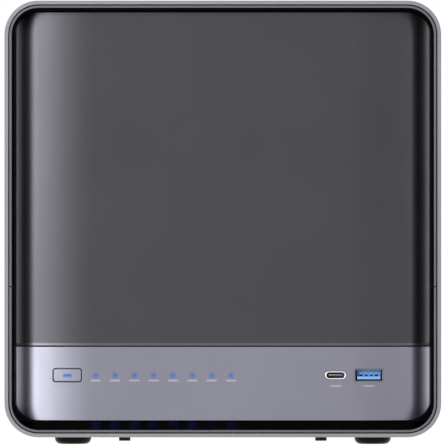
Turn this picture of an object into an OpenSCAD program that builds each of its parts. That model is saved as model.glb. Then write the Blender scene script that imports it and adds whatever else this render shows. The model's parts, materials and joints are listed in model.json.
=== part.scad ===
// Five-bay desktop storage enclosure: an aluminium sleeve on four rubber feet.  Behind a pull-off
// front cover stand five drive trays with levers, a backplane and two fans; below them a board tray
// with the computer slides out of the rear once two captive screws under the floor are loosened.
// X runs across, Y from the front (-Y) to the rear (+Y), Z up; the origin is the middle of the
// footprint, on the table.

/* [Enclosure] */
// Width of the sleeve
case_w = 199; // [197:0.5:215]
// Height from the table to the top of the sleeve
case_h = 202.4; // [200:0.2:225]
// Depth from the front rim to the rear rim
case_d = 252.3; // [246:0.1:290]
// Wall of the sleeve
shell_wall = 1.7; // [1.4:0.1:2.1]
// Outer corner radius of the sleeve
shell_r = 15.5; // [12:0.5:16.5]
// Height of a foot
foot_h = 3.4; // [3:0.1:6]
// Diameter of a foot
foot_d = 16.7; // [14:0.1:20]
// Distance of the feet from the sides of the sleeve
foot_side = 31; // [25.5:0.5:37.5]
// Distance of the feet from the front and rear rims
foot_inset = 24; // [16:1:32]

/* [Front surround] */
// Dark groove between the sleeve and the grey ring
rim_groove = 0.5; // [0.3:0.1:0.8]
// Visible width of the grey ring
ring_w = 1.1; // [0.8:0.1:1.8]
// Depth of the grey ring
ring_d = 7; // [5:0.5:9]
// Width of the black band between the ring and the cover
band_w = 1.85; // [1.3:0.05:2.6]
// Height of the sloped black chin under the control panel
chin_h = 4.2; // [3:0.1:6]
// Height of the lower half of the surround, up to its seam
lower_half_h = 65.4; // [62:0.1:70]
// Open seam between the two halves
half_seam = 0.4; // [0.2:0.1:0.8]

/* [Cover and control panel] */
// Distance from the rim back to the middle of the cover's face
face_setback = 5.4; // [4.4:0.1:7]
// Wall of the cover and the panel
face_wall = 2.2; // [1.6:0.1:2.4]
// Radius of the slow curve that starts the rounded side
crown_r = 100; // [80:5:130]
// Angle that the slow curve turns through
crown_turn = 14; // [8:1:18]
// Radius of the tight curve at the side
edge_r = 14; // [11:0.5:16]
// Height of the silver control panel
panel_h = 33.7; // [30:0.1:38]
// Open seam between the cover and the panel
panel_seam = 0.5; // [0.3:0.1:1]
// Length of a bar magnet that holds the cover
magnet_w = 16; // [10:1:24]
// Height of a bar magnet
magnet_h = 2.4; // [1.6:0.1:2.6]
// Thickness of a bar magnet
magnet_t = 2; // [1:0.1:2.2]

/* [Controls] */
// Height of the row of controls above the panel's lower edge
control_row = 20.7; // [17:0.1:23]
// Width of the power button
button_w = 12.6; // [10:0.1:16]
// Height of the power button
button_h = 5.6; // [5:0.1:9]
// Distance of the power button from the side of the sleeve
button_side = 28.6; // [25.5:0.1:30.5]
// Travel of the power button
button_travel = 0.8; // [0.4:0.1:1]
// Distance from the power button to the first status light
light_gap = 12.9; // [12.4:0.1:15]
// Distance between status lights
light_pitch = 8.82; // [6:0.01:9.5]
// Diameter of a status light
light_d = 1.3; // [1:0.1:2]
// Distance of the USB-A port from the side of the sleeve
usb_a_side = 32.9; // [29.5:0.1:34.5]
// Distance between the two USB ports
usb_apart = 15.2; // [13.5:0.1:17]

/* [Drive bays] */
// Gap between the drive cage's inside and the side of the sleeve
cage_gap = 3.8; // [3.2:0.1:5]
// Gap between the drive cage's lid and the top of the sleeve
lid_gap = 8.1; // [7.2:0.1:10]
// Gap between the rails of neighbouring trays
rail_gap = 3.4; // [3:0.1:5]
// Gap between the fronts of neighbouring trays
tray_gap = 2.4; // [2:0.1:4]
// Height of a tray's rail above and below its drive
rail_h = 7.4; // [6.5:0.1:8]
// Depth of a tray's front
tray_front_d = 12; // [11:0.5:14]
// Length of a drive
drive_l = 147; // [146:0.5:148]
// Thickness of a drive
drive_t = 26.1; // [19:0.1:26.5]
// Distance between the drive's screw holes along its length
drive_hole_y = 44.45; // [40:0.05:48]
// Distance from the drive's edge to its screw holes
drive_hole_in = 3.175; // [3:0.005:6]
// Diameter of a drive screw hole
drive_hole_d = 3.5; // [3:0.1:4]
// Room on a tray above and below its lever
lever_room = 22; // [19:1:36]
// Width of a tray lever
lever_w = 20; // [16:0.5:24]
// Diameter of a lever's pivot
pivot_d = 3; // [2:0.1:3.4]
// Thickness of the cage sheet
cage_t = 1.2; // [0.8:0.1:1.4]

/* [Cooling] */
// Gap between a rear fan and the side of the sleeve
fan_gap = 4.6; // [4:0.1:16]
// Depth of a rear fan
fan_t = 25; // [20:0.5:28]
// Distance from a rear fan's edge to its screw holes
fan_hole_in = 4.75; // [4.3:0.05:6]
// Diameter of a rear fan's hub
hub_d = 36; // [30:1:40]
// Width of the processor fan
cpu_fan_size = 60; // [50:1:64]
// Depth of the processor fan
cpu_fan_t = 10; // [8:0.5:12]

/* [Rear and board tray] */
// Depth of the recess behind the rear panel
rear_recess = 8.8; // [8.6:0.1:12]
// Thickness of the rear panel
rear_t = 1.5; // [1:0.1:2]
// Thickness of the board tray's sheet
tray_sheet = 1.2; // [1:0.1:1.6]
// Height of the mainboard above its tray
standoff_h = 4; // [3:0.5:6]
// Thickness of every circuit board
board_t = 1.6; // [1.2:0.1:2]
// Distance of the lock screws from the middle
lock_x = 45; // [38:0.5:50]
// Diameter of a lock screw's knurled head
lock_head_d = 4.9; // [4.5:0.1:7]
// Length of a lock screw's head below the sleeve
lock_head_h = 2.2; // [1:0.1:2.5]

/* [Fits] */
// Gap between pieces that slip together
slip = 0.3; // [0.2:0.05:0.4]
// Gap round a pin or shaft that turns
running = 0.06; // [0.04:0.01:0.09]
// Gap round the cover, the panel and the button
reveal = 0.4; // [0.3:0.05:0.6]

/* [Hidden] */
$fn = 64;
eps = 0.5;

bays = 5;
lights = 8;
front = -case_d / 2;
back = case_d / 2;

// The sleeve's inside, and the outlines that follow it towards the middle of the front
in_x = case_w / 2 - shell_wall;
in_low = foot_h + shell_wall;
in_top = case_h - shell_wall;
opening_inset = shell_wall + rim_groove + ring_w;
opening_low = foot_h + opening_inset;
half_z = opening_low + lower_half_h;
face_x = case_w / 2 - opening_inset - band_w;
face_low = opening_low + chin_h;
face_top = case_h - opening_inset - band_w;
face_corner_r = shell_r - opening_inset - band_w;
panel_top = face_low + panel_h;
cover_low = panel_top + panel_seam;
control_z = face_low + control_row;
foot_x = case_w / 2 - foot_side;
button_x = case_w / 2 - button_side;
light_x = light_gap - button_x;
usb_a_x = case_w / 2 - usb_a_side;
usb_c_x = usb_a_x - usb_apart;

// Stations along Y, from the rim to the rear
ring_y = front + 0.3;
liner_y = front + 1.2;
face_y = front + face_setback;
edge_cy = face_y + crown_r - (crown_r - edge_r) * cos(crown_turn);
crown_x = face_x - edge_r - (crown_r - edge_r) * sin(crown_turn);
face_back = edge_cy + 2;
frame_y = face_back + 0.4;
frame_d = 10;
frame_back = frame_y + frame_d;
tray_y = face_y + 11.4;
tray_back = tray_y + tray_front_d;
drive_y = tray_back + 1;
drive_end = drive_y + drive_l;
connector_d = 10;
backplane_y = drive_end + 1 + connector_d;
rear_y = back - rear_recess - rear_t;
fan_y = rear_y - fan_t;
front_board_y = face_y + 14.6;
lower_frame_t = 3;

// The deck carries the drive cage over the board tray
deck_z = half_z + 0.5;
bay_low = deck_z + cage_t + slip;
lid_z = in_top - lid_gap - cage_t;
bay_top = lid_z - slip;
tray_h = bay_top - bay_low;
bay_mid = (bay_low + bay_top) / 2;
cage_x = in_x - cage_gap;
bay_pitch = 2 * (cage_x - 3) / bays;
rail_w = bay_pitch - rail_gap;
tray_front_w = bay_pitch - tray_gap;
// What is left between the rails is the width of a drive, which stands upright
drive_w = tray_h - 2 * (rail_h + slip);
drive_hole_z = drive_w - 2 * drive_hole_in;
tray_plate = 1.8;
// The fans fill the width or the height behind the bays, whichever is less
fans_apart = 2.4;
fan_room = 25;
fan_size = min(in_x - fan_gap - fans_apart / 2, tray_h - fan_room);
fan_x = (fan_size + fans_apart) / 2;
fan_z = bay_mid;
fan_holes = fan_size - 2 * fan_hole_in;
guard_d = fan_size - 4;

// Levers stand in front of the trays and turn in ears near the foot of each
pivot_y = tray_y - 2.9;
pivot_z = bay_low + 8;
lever_l = tray_h - lever_room;
barrel_r = 2.6;
ear_t = 2.2;

// Board tray
tray_z = in_low + slip;
board_x = in_x - (shell_r - shell_wall) - 0.5;
board_front = frame_y + lower_frame_t + 4;
main_z = tray_z + tray_sheet + standoff_h;
main_top = main_z + board_t;
main_x = board_x - 5.5;
main_back = rear_y - 1;
main_l = 170;
memory_y = main_back - main_l + 26;
socket_w = 6;
memory_w = 30;
sink_l = 66;
cooler_gap = 5.15;
cooler_y = memory_y + memory_w / 2 + socket_w + cooler_gap + sink_l / 2;
lock_y = board_front + 9;
lock_shank_d = 3;

// ---- Outlines and directions ----

function bay_x(i) = (i - (bays - 1) / 2) * bay_pitch;
function arc(c, r, a0, a1, n) = [for (i = [0:n]) let (a = a0 + (a1 - a0) * i / n) c + r * [sin(a), -cos(a)]];
function mirrored(points) = [for (i = [len(points) - 1:-1:0]) [-points[i].x, points[i].y]];
// Depth of the cover's face at a place in its slow curve
function face_at(x) = abs(x) <= crown_x ? face_y
    : face_y + crown_r - sqrt(pow(crown_r, 2) - pow(abs(x) - crown_x, 2));
// Right half of the cover's plan: the slow curve, the tight one, then a hollow flare out to the side
edge_turn = 47;
flare_end = 10;
flare_r = edge_r * (1 - sin(edge_turn)) / (sin(edge_turn) - sin(flare_end));
edge_c = [face_x - edge_r, edge_cy];
flare_c = edge_c + (edge_r + flare_r) * [sin(edge_turn), -cos(edge_turn)];
function plan_half(inset) = concat(
    arc([crown_x, face_y + crown_r], crown_r - inset, 0, crown_turn, 5),
    arc(edge_c, edge_r - inset, crown_turn + 3, edge_turn, 9),
    arc(flare_c, -flare_r - inset, edge_turn - 3, asin((flare_c.x - face_x + inset) / (flare_r + inset)), 9));

// Turn an outline drawn in X and Z into a slab from y0 to y1
module along_y(y0, y1) translate([0, y1, 0]) rotate([90, 0, 0]) linear_extrude(y1 - y0) children();
// Turn an outline drawn in Y and Z into a slab from x0 to x1
module along_x(x0, x1) translate([x0, 0, 0]) rotate([90, 0, 90]) linear_extrude(x1 - x0) children();
module along_z(z0, z1) translate([0, 0, z0]) linear_extrude(z1 - z0) children();
module span(x0, x1, y0, y1, z0, z1) translate([x0, y0, z0]) cube([x1 - x0, y1 - y0, z1 - z0]);
module rod_y(x, z, d, y0, y1) translate([x, y1, z]) rotate([90, 0, 0]) cylinder(d = d, h = y1 - y0);
module rod_x(y, z, d, x0, x1) translate([x0, y, z]) rotate([0, 90, 0]) cylinder(d = d, h = x1 - x0);

module rounded_rect(w, h, r) {
    square([w - 2 * r, h], center = true);
    square([w, h - 2 * r], center = true);
    for (x = [-1, 1], z = [-1, 1]) translate([x * (w / 2 - r), z * (h / 2 - r)]) circle(r);
}
module slot_shape(w, h) rounded_rect(w, h, min(w, h) / 2 - 0.01);
// Front view of the sleeve, moved inwards by inset
module case_outline(inset) translate([0, (foot_h + case_h) / 2])
    rounded_rect(case_w - 2 * inset, case_h - foot_h - 2 * inset, shell_r - inset);
// Front view of the cover and the panel together
module face_outline(inset) translate([0, (face_low + face_top) / 2])
    rounded_rect(2 * (face_x - inset), face_top - face_low - 2 * inset, face_corner_r - inset);
module face_plan(inset, y_back) polygon(concat(
    [[-face_x + inset, y_back]], mirrored(plan_half(inset)), plan_half(inset), [[face_x - inset, y_back]]));
module side_band(z0, z1) translate([-case_w, z0]) square([2 * case_w, z1 - z0]);
// A hollow moulding open to the rear that follows the face's plan and outline
module face_moulding(z0, z1) difference() {
    intersection() {
        along_z(z0, z1) face_plan(0, face_back);
        along_y(front, face_back + eps) face_outline(0);
    }
    intersection() {
        along_z(z0 + face_wall, z1 - face_wall) face_plan(face_wall, face_back + eps);
        along_y(front, face_back + eps) face_outline(face_wall);
    }
}
module at_feet() for (x = [-1, 1], y = [front + foot_inset, back - foot_inset])
    translate([x * foot_x, y, 0]) children();
module each_bay() for (i = [0:bays - 1]) translate([bay_x(i), 0, 0]) children();

// ---- Sleeve, feet and surround ----

foot_stem_d = 5;
intake_rows = 9;
intake_pitch = 9;
intake_w = 3;
intake_l = 44;
module outer_shell() color("#a5a4ac") difference() {
    along_y(front, back) difference() {
        case_outline(0);
        case_outline(shell_wall);
    }
    at_feet() translate([0, 0, foot_h - eps]) cylinder(d = foot_stem_d + slip, h = shell_wall + 2 * eps);
    for (x = [-lock_x, lock_x])
        translate([x, lock_y, foot_h - eps]) cylinder(d = lock_shank_d + slip, h = shell_wall + 2 * eps);
    for (x = [-1, 1], i = [0:intake_rows - 1])
        translate([x * (intake_l / 2 + 3), cooler_y + (i - (intake_rows - 1) / 2) * intake_pitch, foot_h - eps])
            linear_extrude(shell_wall + 2 * eps) slot_shape(intake_l, intake_w);
}

foot_round = 2.8;
module feet() color("#101012") at_feet() {
    rotate_extrude() intersection() {
        union() {
            square([foot_d / 2 - foot_round, foot_h]);
            translate([0, foot_round]) square([foot_d / 2, foot_h - foot_round]);
            translate([foot_d / 2 - foot_round, foot_round]) circle(foot_round);
        }
        square([foot_d, foot_h]);
    }
    cylinder(d = foot_stem_d, h = in_low);
}

// The ring shows its narrow edge in front and seats on the sleeve with a wider flange behind
module bezel_ring() difference() {
    union() {
        along_y(ring_y, ring_y + ring_d) case_outline(shell_wall + rim_groove);
        along_y(ring_y + ring_d / 2, ring_y + ring_d) case_outline(shell_wall + slip / 2);
    }
    along_y(ring_y - eps, ring_y + ring_d + eps) case_outline(opening_inset);
}
module upper_half() intersection() {
    children();
    span(-case_w, case_w, front - 1, back, half_z + half_seam / 2, case_h + 1);
}
module lower_half() intersection() {
    children();
    span(-case_w, case_w, front - 1, back, 0, half_z - half_seam / 2);
}
module bezel_upper() color("#76757b") upper_half() bezel_ring();
module bezel_lower() color("#76757b") lower_half() bezel_ring();

// The liner is a black tunnel from the ring back to the frames; its floor slopes up to the panel
module liner_tunnel() difference() {
    along_y(liner_y, frame_y) case_outline(opening_inset + slip / 2);
    along_y(liner_y - eps, frame_y + eps) face_outline(-reveal);
    along_x(-case_w, case_w) polygon([[liner_y - eps, opening_low + 0.4], [liner_y, opening_low + 0.4],
        [face_y, face_low - reveal], [face_y, face_low], [liner_y - eps, face_low]]);
}
module liner_upper() color("#0b0b0d") upper_half() liner_tunnel();
module liner_lower() color("#0b0b0d") lower_half() liner_tunnel();

// ---- Frames behind the cover ----

bay_wall = (bay_pitch - tray_front_w) / 2 - slip;
magnet_x = 60;
magnet_z = [cover_low + 4.5, face_top - face_wall - magnet_h / 2];
magnet_face = frame_y - slip;
magnet_fit = 0.05;
module at_magnets() for (x = [-magnet_x, magnet_x], z = magnet_z) translate([x, 0, z]) children();
module magnet_block(w, h, y0, y1) span(-w / 2, w / 2, y0, y1, -h / 2, h / 2);
module magnet_pocket(y0, y1) magnet_block(magnet_w + 2 * magnet_fit, magnet_h + 2 * magnet_fit, y0, y1);

module bay_frame() color("#17171a") difference() {
    along_y(frame_y, frame_back) intersection() {
        case_outline(shell_wall + slip);
        side_band(half_z + half_seam / 2, case_h);
    }
    each_bay() span(-bay_pitch / 2 + bay_wall, bay_pitch / 2 - bay_wall, frame_y - eps, frame_back + eps,
        bay_low - slip, lid_z);
    // The cage slides over a step at the back of the frame
    difference() {
        along_y(frame_back - 4, frame_back + eps) case_outline(0);
        span(-cage_x + slip, cage_x - slip, front, back, deck_z + cage_t, lid_z);
    }
    at_magnets() magnet_pocket(frame_y - eps, frame_y + magnet_fit + magnet_t);
}

slot_count = 23;
slot_pitch = 7;
module lower_frame() color("#17171a") difference() {
    along_y(frame_y, frame_y + lower_frame_t) intersection() {
        case_outline(shell_wall + slip);
        side_band(0, half_z - half_seam / 2);
    }
    // Air slots over the computer
    for (i = [0:slot_count - 1])
        along_y(frame_y - eps, frame_y + lower_frame_t + eps)
            translate([(i - (slot_count - 1) / 2) * slot_pitch, (panel_top + half_z) / 2 + 3]) slot_shape(3.2, 14);
    // Window for the front board's leads
    along_y(frame_y - eps, frame_y + lower_frame_t + eps) translate([0, control_z]) rounded_rect(120, 16, 3);
    at_magnets() magnet_pocket(frame_y - eps, frame_y + magnet_fit + magnet_t);
}
module frame_magnets() color("#b9babd") at_magnets() magnet_block(magnet_w, magnet_h, frame_y, frame_y + magnet_t);

// ---- Front cover ----

post_w = magnet_w + 4;
post_h = magnet_h + 1.2;
rib_d = 1.2;
rib_t = 1.4;
module front_cover() color("#56555c") {
    difference() {
        union() {
            face_moulding(cover_low, face_top);
            // Posts reach back from the face and hold the magnets
            intersection() {
                at_magnets() magnet_block(post_w, post_h, face_y, magnet_face);
                along_z(cover_low, face_top) face_plan(face_wall / 2, back);
                along_y(front, back) face_outline(face_wall / 2);
            }
        }
        at_magnets() magnet_pocket(magnet_face - magnet_t - magnet_fit, magnet_face + eps);
    }
    // Stiffening ribs across the inside
    for (k = [1:3]) {
        z = cover_low + k * (face_top - cover_low) / 4;
        span(-crown_x, crown_x, face_y + face_wall - 0.2, face_y + face_wall + rib_d, z, z + rib_t);
    }
}
module cover_magnets() color("#b9babd") at_magnets()
    magnet_block(magnet_w, magnet_h, magnet_face - magnet_t, magnet_face);

// ---- Control panel, button, lights and ports ----

usb_c_w = 8.34;
usb_c_h = 2.56;
usb_c_rim = 0.6;
usb_a_w = 12.5;
usb_a_h = 5.12;
usb_a_rim = 0.35;
usb_a_tongue_w = 10.7;
usb_a_tongue_h = 1.4;
usb_a_tongue_low = 0.7;
button_r = 1;
boss_d = 7;
board_edge_x = face_x - 10.35;
board_low = face_low + 4;
board_high = panel_top - 4;
stem_d = 4;
switch_d = 3.4;
// Two bosses low at the ends of the board and two high near its middle, clear of the button
module at_bosses() for (x = [-1, 1], place = [[board_edge_x - 4, board_low + 4], [30, board_high - 4]])
    translate([x * place[0], 0, place[1]]) children();
module control_panel() color("#92919d") {
    difference() {
        face_moulding(face_low, panel_top);
        along_y(front, front_board_y) {
            translate([-button_x, control_z]) rounded_rect(button_w + 2 * reveal, button_h + 2 * reveal, button_r + reveal);
            for (i = [0:lights - 1]) translate([light_x + i * light_pitch, control_z]) circle(d = light_d + slip / 2);
            translate([usb_c_x, control_z]) slot_shape(usb_c_w + 2 * usb_c_rim + 0.1, usb_c_h + 2 * usb_c_rim + 0.1);
            translate([usb_a_x, control_z]) square([usb_a_w + 2 * usb_a_rim + 0.2, usb_a_h + 2 * usb_a_rim + 0.2], center = true);
        }
    }
    // Four bosses carry the front board
    intersection() {
        at_bosses() rod_y(0, 0, boss_d, face_y, front_board_y);
        along_z(face_low, panel_top) face_plan(face_wall / 2, back);
    }
}
module status_lights() color("#5f8dff") for (i = [0:lights - 1])
    rod_y(light_x + i * light_pitch, control_z, light_d, face_y, front_board_y);

module usb_c_port() color("#c9cad0") along_y(face_at(usb_c_x) + 0.1, front_board_y) translate([usb_c_x, control_z])
    difference() {
        slot_shape(usb_c_w + 2 * usb_c_rim, usb_c_h + 2 * usb_c_rim);
        slot_shape(usb_c_w, usb_c_h);
    }
module usb_c_tongue() color("#18181a") {
    span(usb_c_x - 3.35, usb_c_x + 3.35, face_at(usb_c_x) + 1.4, front_board_y, control_z - 0.35, control_z + 0.35);
    along_y(front_board_y - 3, front_board_y) translate([usb_c_x, control_z]) slot_shape(usb_c_w - 0.1, usb_c_h - 0.1);
}
module usb_a_port() color("#c4c5cb") along_y(face_at(usb_a_x) + 0.1, front_board_y) translate([usb_a_x, control_z])
    difference() {
        square([usb_a_w + 2 * usb_a_rim, usb_a_h + 2 * usb_a_rim], center = true);
        square([usb_a_w, usb_a_h], center = true);
    }
module usb_a_tongue() color("#2f6bc8") {
    z = control_z - usb_a_h / 2 + usb_a_tongue_low;
    span(usb_a_x - usb_a_tongue_w / 2, usb_a_x + usb_a_tongue_w / 2, face_at(usb_a_x) + 1.2, front_board_y, z, z + usb_a_tongue_h);
    span(usb_a_x - usb_a_w / 2 + 0.05, usb_a_x + usb_a_w / 2 - 0.05, front_board_y - 4, front_board_y,
        control_z - usb_a_h / 2 + 0.05, control_z + usb_a_h / 2 - 0.05);
}

module front_board() color("#14432f") difference() {
    span(-board_edge_x, board_edge_x, front_board_y, front_board_y + board_t, board_low, board_high);
    at_bosses() rod_y(0, 0, 3, front_board_y - eps, front_board_y + board_t + eps);
}
switch_t = 3.2;
module power_switch() color("#2a2a2c") {
    span(-button_x - 3, -button_x + 3, front_board_y - switch_t, front_board_y, control_z - 3, control_z + 3);
    rod_y(-button_x, control_z, switch_d, front_board_y - switch_t - 0.8, front_board_y - switch_t + eps);
}

stem_end = front_board_y - switch_t - 0.8 - button_travel - 0.1;
button_flange_y = face_at(button_x + button_w / 2) + face_wall + button_travel / 2 + 0.3;
module power_button() color("#8d8c98") {
    intersection() {
        along_y(front, button_flange_y + 0.2) translate([-button_x, control_z]) difference() {
            rounded_rect(button_w, button_h, button_r);
            slot_shape(bar_w, bar_h);
        }
        along_z(face_low, panel_top) face_plan(0, button_flange_y + 1);
    }
    // A flange behind the panel keeps the button in, and the stem reaches the switch
    along_y(button_flange_y, button_flange_y + 1.2) translate([-button_x, control_z])
        rounded_rect(button_w + 2.6, button_h + 2.6, button_r + 1.3);
    rod_y(-button_x, control_z, stem_d, button_flange_y + 1, stem_end);
}
bar_w = 3.9;
bar_h = 0.95;
module button_light() color("#4f7dff") intersection() {
    along_y(front, button_flange_y) translate([-button_x, control_z]) slot_shape(bar_w - 0.04, bar_h - 0.04);
    along_z(face_low, panel_top) face_plan(0.02, button_flange_y + 1);
}

// ---- Drive cage, guides and backplane ----

side_slots = 8;
module drive_cage() color("#3a3b3e") difference() {
    union() {
        span(-cage_x - cage_t, cage_x + cage_t, frame_back - 4 + 0.1, rear_y, deck_z, deck_z + cage_t);
        for (x = [-1, 1]) scale_x(x) span(cage_x, cage_x + cage_t, frame_back - 4 + 0.1, rear_y, deck_z, lid_z);
    }
    for (i = [0:side_slots - 1], z = [bay_low + 24, bay_mid, bay_top - 24])
        along_x(-case_w, case_w) translate([frame_back + 18 + i * 16, z]) slot_shape(10, 5);
}
module scale_x(x) mirror([x < 0 ? 1 : 0, 0, 0]) children();
module cage_top() color("#3a3b3e")
    span(-cage_x - cage_t, cage_x + cage_t, frame_back - 4 + 0.1, rear_y, lid_z, lid_z + cage_t);

guide_h = 4;
guide_gap = 0.5;
guide_w = bay_pitch - rail_w - 2 * guide_gap;
module guides(z0, z1) for (i = [0:bays]) {
    x = (i - bays / 2) * bay_pitch;
    span(x - guide_w / 2, x + guide_w / 2, frame_back, backplane_y - slip, z0, z1);
}
module guide_rails() color("#1e1e20") {
    guides(deck_z + cage_t, bay_low + guide_h);
    guides(bay_top - guide_h, lid_z);
}

connector_z = bay_low + 32;
connector_h = 42;
module backplane() color("#14432f") difference() {
    span(-cage_x + slip / 2, cage_x - slip / 2, backplane_y, backplane_y + board_t, deck_z + cage_t, lid_z);
    // Air passes between the connectors
    each_bay() {
        along_y(backplane_y - eps, backplane_y + board_t + eps) translate([9, bay_mid]) slot_shape(8, tray_h - 27);
        along_y(backplane_y - eps, backplane_y + board_t + eps) translate([-9, bay_mid + tray_h / 4]) slot_shape(8, tray_h / 3);
    }
}
module drive_connectors() color("#101012") each_bay() translate([-8.5, 0, 0]) difference() {
    span(-3, 3, backplane_y - connector_d + 1, backplane_y, connector_z - connector_h / 2, connector_z + connector_h / 2);
    span(-1.2, 3 + eps, backplane_y - connector_d, backplane_y - 3, connector_z - connector_h / 2 + 2, connector_z - 2);
    span(-1.2, 3 + eps, backplane_y - connector_d, backplane_y - 3, connector_z + 2, connector_z + connector_h / 2 - 2);
}

// ---- Drive trays and levers ----

drive_hole_front = 85.73 - 44.45 / 2;
vent_pitch = 7;
vent_rows = floor((tray_h - 11) / vent_pitch);
module rail(z_web, dir) mirror([0, 0, dir < 0 ? 1 : 0]) translate([0, 0, dir * z_web])
    along_y(tray_back - eps, drive_end) difference() {
        translate([-rail_w / 2, -rail_h]) square([rail_w, rail_h]);
        translate([-rail_w / 2 + 2.4, -rail_h - eps]) square([rail_w - 4.8, rail_h - 1.6 + eps]);
    }
// Steel side plate that the drive is screwed to; it stands between the tray's rails
module side_plate(i) color("#9fa1a6") translate([bay_x(i), 0, 0]) difference() {
    span(-rail_w / 2, -rail_w / 2 + tray_plate, tray_back, drive_end, bay_low + rail_h, bay_top - rail_h);
    for (y = [-1, 1], z = [-1, 1])
        rod_x(drive_end - drive_hole_front + y * drive_hole_y / 2, bay_mid + z * drive_hole_z / 2, drive_hole_d,
            -rail_w / 2 - eps, -rail_w / 2 + tray_plate + eps);
    along_x(-rail_w / 2 - eps, -rail_w / 2 + tray_plate + eps) for (y = [-38, 34])
        translate([drive_end - drive_hole_front - 10 + y, bay_mid]) rounded_rect(54, drive_hole_z - 29.25, 6);
}
module tray(i) color("#26272a") translate([bay_x(i), 0, 0]) {
    rail(bay_low + rail_h, 1);
    rail(bay_top - rail_h, -1);
    difference() {
        span(-tray_front_w / 2, tray_front_w / 2, tray_y, tray_back, bay_low, bay_top);
        span(-tray_front_w / 2 + 2, tray_front_w / 2 - 2, tray_y + 2.4, tray_back + eps, bay_low + 2, bay_top - 2);
        for (r = [0:vent_rows - 1])
            along_y(tray_y - eps, tray_y + 3) translate([0, bay_mid + 6 + (r - (vent_rows - 1) / 2) * vent_pitch - 3])
                slot_shape(27, 3.4);
        // The lever's latch nose swings through here
        span(-4.6, 4.6, tray_y - eps, tray_y + 3, bay_low + 1.2, pivot_z + 1);
    }
    // Ears that hold the lever's pivot
    for (x = [-1, 1]) scale_x(x) difference() {
        union() {
            rod_x(pivot_y, pivot_z, 2 * barrel_r, ear_x, ear_x + ear_t);
            span(ear_x, ear_x + ear_t, pivot_y, tray_y + 0.2, pivot_z - barrel_r, pivot_z + barrel_r);
        }
        rod_x(pivot_y, pivot_z, pivot_d + 2 * running, ear_x - eps, ear_x + ear_t + eps);
    }
}
ear_x = lever_w / 2 - 3 + 0.3;
barrel_x = ear_x - 0.3;
module tray_1() tray(0);
module tray_2() tray(1);
module tray_3() tray(2);
module tray_4() tray(3);
module tray_5() tray(4);
module tray_side_1() side_plate(0);
module tray_side_2() side_plate(1);
module tray_side_3() side_plate(2);
module tray_side_4() side_plate(3);
module tray_side_5() side_plate(4);

// The lever is one moulding: a frame with a grip at its head, a barrel, and trunnions that turn in the ears
lever_t = 4;
lever_y = pivot_y - 2;
module lever(i) color("#1b1b1e") translate([bay_x(i), 0, 0]) {
    along_y(lever_y, lever_y + lever_t) difference() {
        translate([0, pivot_z + lever_foot + (lever_l - lever_foot) / 2]) rounded_rect(lever_w, lever_l - lever_foot, 3);
        translate([0, pivot_z + lever_l * 0.46]) rounded_rect(lever_w - 9, lever_l * 0.55, 3);
        translate([0, pivot_z + lever_l - 10]) slot_shape(lever_w - 9, 5);
    }
    span(-barrel_x, barrel_x, lever_y, lever_y + lever_t, pivot_z, pivot_z + lever_foot + 2);
    rod_x(pivot_y, pivot_z, 2 * barrel_r, -barrel_x, barrel_x);
    rod_x(pivot_y, pivot_z, pivot_d, -ear_x - ear_t, ear_x + ear_t);
    // Latch nose
    span(-4, 4, pivot_y - 1.2, pivot_y + 1.2, pivot_z - 5.4, pivot_z);
}
lever_foot = barrel_r + 1;
module tray_lever_1() lever(0);
module tray_lever_2() lever(1);
module tray_lever_3() lever(2);
module tray_lever_4() lever(3);
module tray_lever_5() lever(4);

// ---- Rear panel and fans ----

guard_rings = 6;
screw_d = 3;
screw_head_d = 5.6;
screw_head_t = 1.8;
rear_screw_in = 17.8;
module at_fan_holes() for (f = [-1, 1], x = [-1, 1], z = [-1, 1])
    translate([f * fan_x + x * fan_holes / 2, 0, fan_z + z * fan_holes / 2]) children();
module at_rear_screws() for (x = [-1, 1], z = [deck_z + 6, in_top - 6])
    translate([x * (in_x - rear_screw_in), 0, z]) children();
module rear_panel() color("#1c1c1f") {
    difference() {
        along_y(rear_y, rear_y + rear_t) intersection() {
            case_outline(shell_wall + slip);
            side_band(deck_z, case_h);
        }
        for (f = [-1, 1]) translate([f * fan_x, 0, fan_z]) difference() {
            along_y(rear_y - eps, rear_y + rear_t + eps) for (k = [1:guard_rings]) difference() {
                circle(d = guard_d * (0.28 + 0.72 * k / guard_rings) );
                circle(d = guard_d * (0.28 + 0.72 * k / guard_rings) - guard_d * 0.09);
            }
            for (a = [0:45:135]) rotate([0, a, 0]) span(-guard_d, guard_d, rear_y - 1, rear_y + rear_t + 1, -1.3, 1.3);
        }
        at_fan_holes() rod_y(0, 0, screw_d + slip, rear_y - eps, rear_y + rear_t + eps);
        at_rear_screws() rod_y(0, 0, screw_d + slip, rear_y - eps, rear_y + rear_t + eps);
        // Lock slot
        along_y(rear_y - eps, rear_y + rear_t + eps) translate([0, in_top - 7]) slot_shape(7, 3);
    }
    // Folded edge that stiffens the panel inside the sleeve
    along_y(rear_y - 8, rear_y) intersection() {
        difference() {
            case_outline(shell_wall + slip);
            case_outline(shell_wall + slip + rear_t);
        }
        side_band(lid_z + cage_t + slip, case_h);
    }
}
module rear_screw() {
    rod_y(0, 0, screw_head_d, rear_y + rear_t, rear_y + rear_t + screw_head_t);
    rod_y(0, 0, screw_d, rear_y - 1.6, rear_y + rear_t + eps);
}
module rear_screws() color("#3c3d40") at_rear_screws() rear_screw();
fan_screw_l = 6;
module fan_screws() color("#3c3d40") at_fan_holes() {
    rod_y(0, 0, screw_head_d, rear_y + rear_t, rear_y + rear_t + screw_head_t);
    rod_y(0, 0, screw_d, rear_y - fan_screw_l, rear_y + rear_t + eps);
}

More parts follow.
